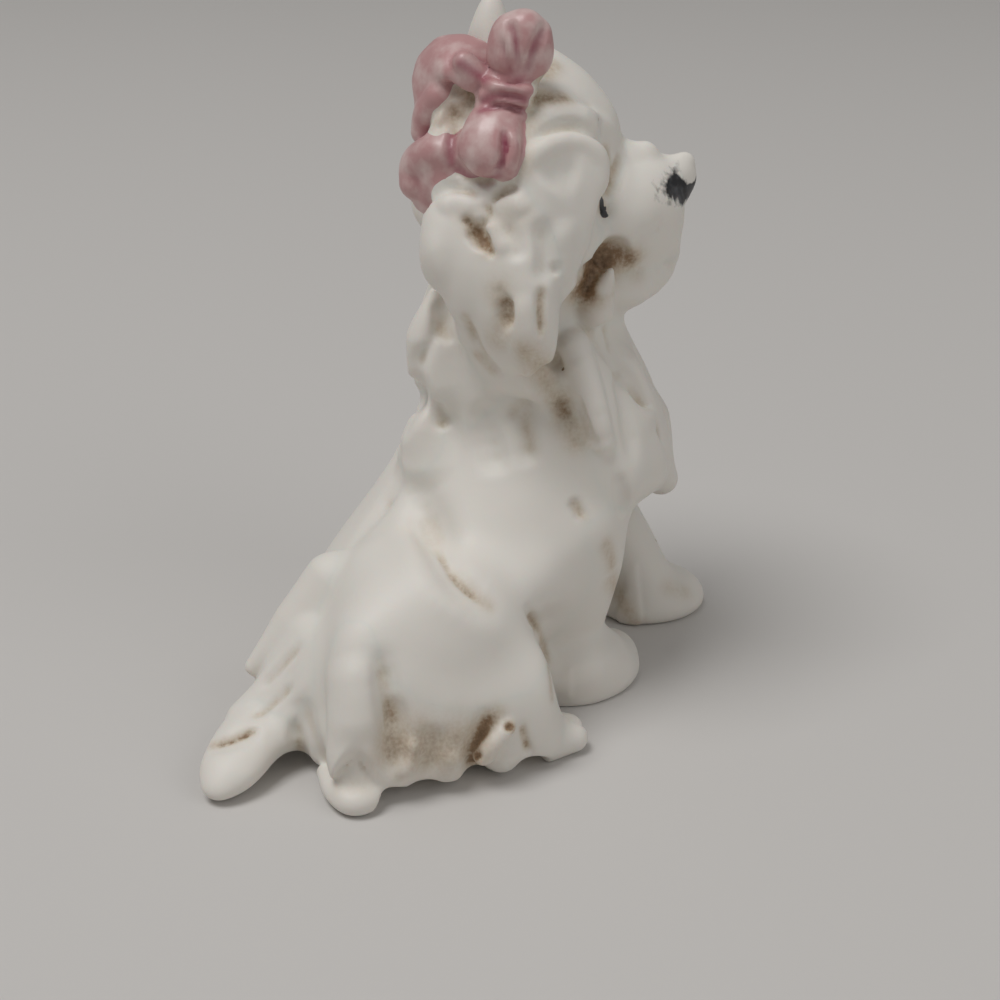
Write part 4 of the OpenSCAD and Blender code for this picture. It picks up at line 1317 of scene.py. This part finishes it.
print("stains:", len(HEAD_STAINS) + len(COAT_STAINS), "stained points:", int((wash > SEEN).sum()))

# %% Painted shade in the folds of the ribbon
# Painted shade, brushed into the ribbon under the lower loop, behind and over the knot, in the wraps and
# along the edge of the lower loop.
BOW_FOLD_SHADE = {
    "under the lower loop": [(458, 170), (474, 180), (498, 176)],
    "behind the knot": [(462, 64), (474, 72), (486, 80)],
    "upper wrap": [(484, 101), (504, 95), (525, 99)],
    "lower wrap": [(482, 111), (502, 106), (522, 110)],
    "over the knot": [(508, 84), (520, 80)],
    "edge of the lower loop": [(457, 126), (450, 143), (452, 162)],
}
FOLD_SHADE_WIDTH = 0.45
FOLD_SHADE_STRENGTH = 0.7
for pixels in BOW_FOLD_SHADE.values():
    brush(fold, traced(pixels), FOLD_SHADE_WIDTH, FOLD_SHADE_STRENGTH)
print("dark folds:", ", ".join(BOW_FOLD_SHADE))

# %% [markdown]
# ## Paint
# The nose is brushed with black, in an oval across the front of the muzzle that has worn thin on its tip.
# The eyes are painted all over. A material for the nose alone would end in a hard line at the border of
# its piece. So the paint is an amount on the points, like the wash, and runs over the borders as a brush
# does.

# %% Painted nose and eyes
NOSE_HEIGHT = 43.4
NOSE_HALF_WIDE, NOSE_HALF_HIGH = 4.5, 1.9
NOSE_FROM = 10.2
NOSE_TIP = (690, 168)
NOSE_WORN = 1.2
NOSE_COVER = 0.85
EYE_COVER = 2
across = ((points - HEAD_PIVOT) @ head_side) / NOSE_HALF_WIDE
upward = (points[:, 2] - NOSE_HEIGHT) / NOSE_HALF_HIGH
in_front = (points - HEAD_PIVOT) @ forward > NOSE_FROM
paint = np.where(outside & in_front, NOSE_COVER * np.exp(-((across**2 + upward**2) ** 2)), 0)
wipe(paint, touch([NOSE_TIP]), NOSE_WORN)
for eye in ("right_eye", "left_eye"):
    number = piece_names.index(eye) + 1
    paint[np.unique(faces[(owner_a == number) | (owner_b == number)])] = EYE_COVER
print("painted points:", int((paint > SEEN).sum()))

# %% [markdown]
# ## Finishes
# Bisque is unglazed porcelain: white, matt and a little translucent. The ribbon carries a pearly pink
# lustre, with paler streaks that are partly its brush marks and partly painted highlights, and its folds
# are painted darker as shade. The black of the nose is patchy and worn. Images could carry all this, but
# they would be tied to one unwrapped mesh. Each finish reads the hollows, stains, painted shade and paint
# that the points carry, and breaks them up with noise.

# %% Colours
BISQUE_WHITE = (0.79, 0.755, 0.70, 1)
CREAM = (0.62, 0.54, 0.44, 1)
TAN = (0.29, 0.185, 0.105, 1)
UMBER = (0.11, 0.06, 0.028, 1)
PINK = (0.53, 0.29, 0.29, 1)
# Pale pink is partly the lustre's paler brush streaks and partly painted highlight.
PALE_PINK = (0.68, 0.51, 0.49, 1)
# Deep magenta is painted shade in the ribbon's folds.
SHADE_MAGENTA = (0.30, 0.055, 0.095, 1)
PAINT_BLACK = (0.012, 0.012, 0.014, 1)
PAINT_GREY = (0.09, 0.09, 0.095, 1)
NONE, ALL = (0, 0, 0, 1), (1, 1, 1, 1)
print("from clean to stained:", BISQUE_WHITE[:3], CREAM[:3], TAN[:3], UMBER[:3])

# %% Shader helpers
def new_finish(name, roughness):
    material = bpy.data.materials.new(name)
    material.use_nodes = True
    tree = material.node_tree
    shader = tree.nodes["Principled BSDF"]
    shader.inputs["Roughness"].default_value = roughness
    return material, tree, shader


def carried(tree, name):
    return add_node(tree, "ShaderNodeAttribute", {"attribute_name": name}).outputs["Fac"]


def mottle(tree, scale, detail=3):
    where = add_node(tree, "ShaderNodeTexCoord").outputs["Object"]
    return add_node(tree, "ShaderNodeTexNoise", Vector=where, Scale=scale, Detail=detail).outputs["Fac"]


def maths(tree, operation, a, b, clamp=False):
    settings = {"operation": operation, "use_clamp": clamp}
    return add_node(tree, "ShaderNodeMath", settings, _0=a, _1=b).outputs[0]


def blend_colour(tree, share, a, b):
    return add_node(tree, "ShaderNodeMix", {"data_type": "RGBA"}, Factor=share, _6=a, _7=b).outputs[2]


def ramp(tree, share, stops):
    made = add_node(tree, "ShaderNodeValToRGB", Fac=share)
    elements = made.color_ramp.elements
    while len(elements) < len(stops):
        elements.new(1)
    for element, (place, colour) in zip(elements, stops):
        element.position = place
        element.color = colour
    return made.outputs["Color"]


print("shader helpers: carried, mottle, maths, blend_colour and ramp")

# %% Stain, paint and finger marks
COARSE_GRAIN, FINE_GRAIN = 700, 3200
GRAIN_LEVEL = 0.45
GRAIN_MIDDLE = 0.5
FINE_SHARE = 1.1
SPECKS_PER_METRE = 160.0
SPECK_SIZE = 0.025
SPECK_AMOUNT = 0.5
PATCHES, BRUSH_MARKS = 1500, 900
PATCH_SHARE = 1.1
WORN_BELOW = 0.35
COVER_GAIN = 6.0
MARK_DEPTH = 0.0004


def stained(tree):
    """Bisque white with its brown stain, broken up by a coarse and a fine grain, and a few kiln specks."""
    coarse = maths(tree, "ADD", mottle(tree, COARSE_GRAIN), GRAIN_LEVEL)
    fine = maths(tree, "SUBTRACT", mottle(tree, FINE_GRAIN, detail=6), GRAIN_MIDDLE)
    grain = maths(tree, "ADD", coarse, maths(tree, "MULTIPLY", fine, FINE_SHARE))
    amount = maths(tree, "MULTIPLY", carried(tree, "wash"), grain, clamp=True)
    where = add_node(tree, "ShaderNodeTexCoord").outputs["Object"]
    spots = add_node(tree, "ShaderNodeTexVoronoi", Vector=where, Scale=SPECKS_PER_METRE).outputs["Distance"]
    speck = maths(tree, "LESS_THAN", spots, SPECK_SIZE)
    amount = maths(tree, "ADD", amount, maths(tree, "MULTIPLY", speck, SPECK_AMOUNT), clamp=True)
    return ramp(tree, amount, [(0.0, BISQUE_WHITE), (0.25, CREAM), (0.55, TAN), (1.0, UMBER)])


def painted(tree):
    """Stained bisque with worn black paint brushed over it."""
    patchy = maths(tree, "SUBTRACT", mottle(tree, PATCHES, detail=5), GRAIN_MIDDLE)
    patchy = maths(tree, "MULTIPLY", patchy, PATCH_SHARE)
    cover = maths(tree, "SUBTRACT", maths(tree, "ADD", carried(tree, "paint"), patchy), WORN_BELOW)
    cover = maths(tree, "MULTIPLY", cover, carried(tree, "paint"))
    cover = maths(tree, "MULTIPLY", cover, COVER_GAIN, clamp=True)
    brushed = ramp(tree, mottle(tree, BRUSH_MARKS, detail=5), [(0.4, PAINT_BLACK), (0.7, PAINT_GREY)])
    return blend_colour(tree, cover, stained(tree), brushed)


def roughened(tree, shader, scale, strength):
    """The faint unevenness that fingers leave."""
    marks = mottle(tree, scale)
    bump = add_node(tree, "ShaderNodeBump", Height=marks, Strength=strength, Distance=MARK_DEPTH)
    tree.links.new(bump.outputs[0], shader.inputs["Normal"])


print("finger marks are", MARK_DEPTH / MM, "mm deep at most")

# %% Bisque, lustre and face paint
bisque, tree, shader = new_finish("bisque", roughness=0.55)
tree.links.new(painted(tree), shader.inputs["Base Color"])
roughened(tree, shader, scale=420, strength=0.1)
shader.inputs["Subsurface Weight"].default_value = 0.1
shader.inputs["Subsurface Scale"].default_value = 0.0012

ribbon_lustre, tree, shader = new_finish("ribbon_lustre", roughness=0.4)
# Paler streaks over the pink: partly brush streaks of the lustre, partly painted highlights.
streaks_and_highlights = ramp(tree, mottle(tree, scale=520, detail=6), [(0.42, NONE), (0.68, ALL)])
pink_with_streaks_and_highlights = blend_colour(tree, streaks_and_highlights, PINK, PALE_PINK)
# The ribbon's folds are blended towards deep magenta: painted shade.
tree.links.new(blend_colour(tree, carried(tree, "fold"), pink_with_streaks_and_highlights, SHADE_MAGENTA), shader.inputs["Base Color"])
roughened(tree, shader, scale=900, strength=0.12)
shader.inputs["Coat Weight"].default_value = 0.25
shader.inputs["Coat Roughness"].default_value = 0.3

face_paint, tree, shader = new_finish("face_paint", roughness=0.42)
tree.links.new(painted(tree), shader.inputs["Base Color"])
FINISH = {"bisque": bisque, "ribbon_lustre": ribbon_lustre, "face_paint": face_paint}
print("finishes:", ", ".join(FINISH))

# %% [markdown]
# ## Fired pieces
# Each owner's faces become one closed mesh that stands for its solid. Smooth shading by itself would show
# a line where two pieces meet, so the shading normals of the outside come from the field, and
# neighbouring pieces shade as one skin.

# %% Pieces
SLOT = {n["node"]: n["material_slot"] for n in frame["record"]["subparts"]}
for number, name in enumerate(piece_names, 1):
    inner, outer = owner_a == number, owner_b == number
    mine = np.concatenate([faces[inner], faces[outer][:, ::-1]])
    skin = np.concatenate([is_skin[inner], is_skin[outer]])
    used, local = np.unique(mine, return_inverse=True)
    mesh = bpy.data.meshes.new(name + "_fired")
    mesh.from_pydata((points[used] * MM).tolist(), [], local.reshape(-1, 4).tolist())
    # The fold layer carries the painted shade of the ribbon's folds.
    for layer_name, layer in (("wash", wash), ("fold", fold), ("paint", paint)):
        layer_data = mesh.attributes.new(layer_name, "FLOAT", "POINT")
        layer_data.data.foreach_set("value", layer[used].astype(np.float32))
    mesh.polygons.foreach_set("use_smooth", np.ones(len(mesh.polygons), bool))
    flat_normals = np.empty(len(mesh.polygons) * 3, np.float32)
    mesh.polygon_normals.foreach_get("vector", flat_normals)
    flat_normals = np.repeat(flat_normals.reshape(-1, 3), 4, axis=0)
    shading = np.where(np.repeat(skin, 4)[:, None], normals[mine.ravel()], flat_normals)
    mesh.normals_split_custom_set(shading.tolist())
    mesh.materials.append(FINISH[SLOT[name]])
    piece = bpy.data.objects.new(name + "_fired", mesh)
    bpy.context.scene.collection.objects.link(piece)
    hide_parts(name)
    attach(piece, "root")
    print(name, len(mesh.polygons), "faces")

# %% [markdown]
# ## Table and light
# The dog sits on a plain pale table. A picture of a studio could light it, but two lamps are easier to
# steer. A large soft one high above, a little behind, models the hair, and a weak one on the camera's
# side opens the shadows. Both are kept low, so that the white clay never burns out.

# %% Table top
TABLE_SIDE = 4
TABLE_COLOUR = (0.62, 0.60, 0.58, 1)
TABLE_ROUGHNESS = 0.7
bpy.ops.mesh.primitive_plane_add(size=TABLE_SIDE)
floor = bpy.context.object
floor.name = "floor"
pale_table, tree, shader = new_finish("pale_table", TABLE_ROUGHNESS)
shader.inputs["Base Color"].default_value = TABLE_COLOUR
floor.data.materials.append(pale_table)
print("table of", TABLE_SIDE, "m")

# %% Lamps
# For each lamp: place, width in metres, power in watts.
LAMPS = {"window": ((-0.05, 0.34, 0.9), 0.5, 4.4), "room": ((-0.55, -0.4, 0.5), 0.6, 0.9)}
LIT_PLACE = Vector((0, 0, 0.03))
SKY_COLOUR = (0.88, 0.87, 0.85, 1)
SKY_STRENGTH = 0.27
for lamp, (place, width, power) in LAMPS.items():
    data = bpy.data.lights.new(lamp, "AREA")
    data.shape = "DISK"
    data.size = width
    data.energy = power
    light = bpy.data.objects.new(lamp, data)
    light.location = place
    light.rotation_euler = (LIT_PLACE - Vector(place)).to_track_quat("-Z", "Y").to_euler()
    bpy.context.scene.collection.objects.link(light)
world = bpy.data.worlds.new("studio")
world.use_nodes = True
sky = world.node_tree.nodes["Background"]
sky.inputs["Color"].default_value = SKY_COLOUR
sky.inputs["Strength"].default_value = SKY_STRENGTH
bpy.context.scene.world = world
bpy.context.scene.view_settings.view_transform = "Standard"
print("lamps:", ", ".join(LAMPS))
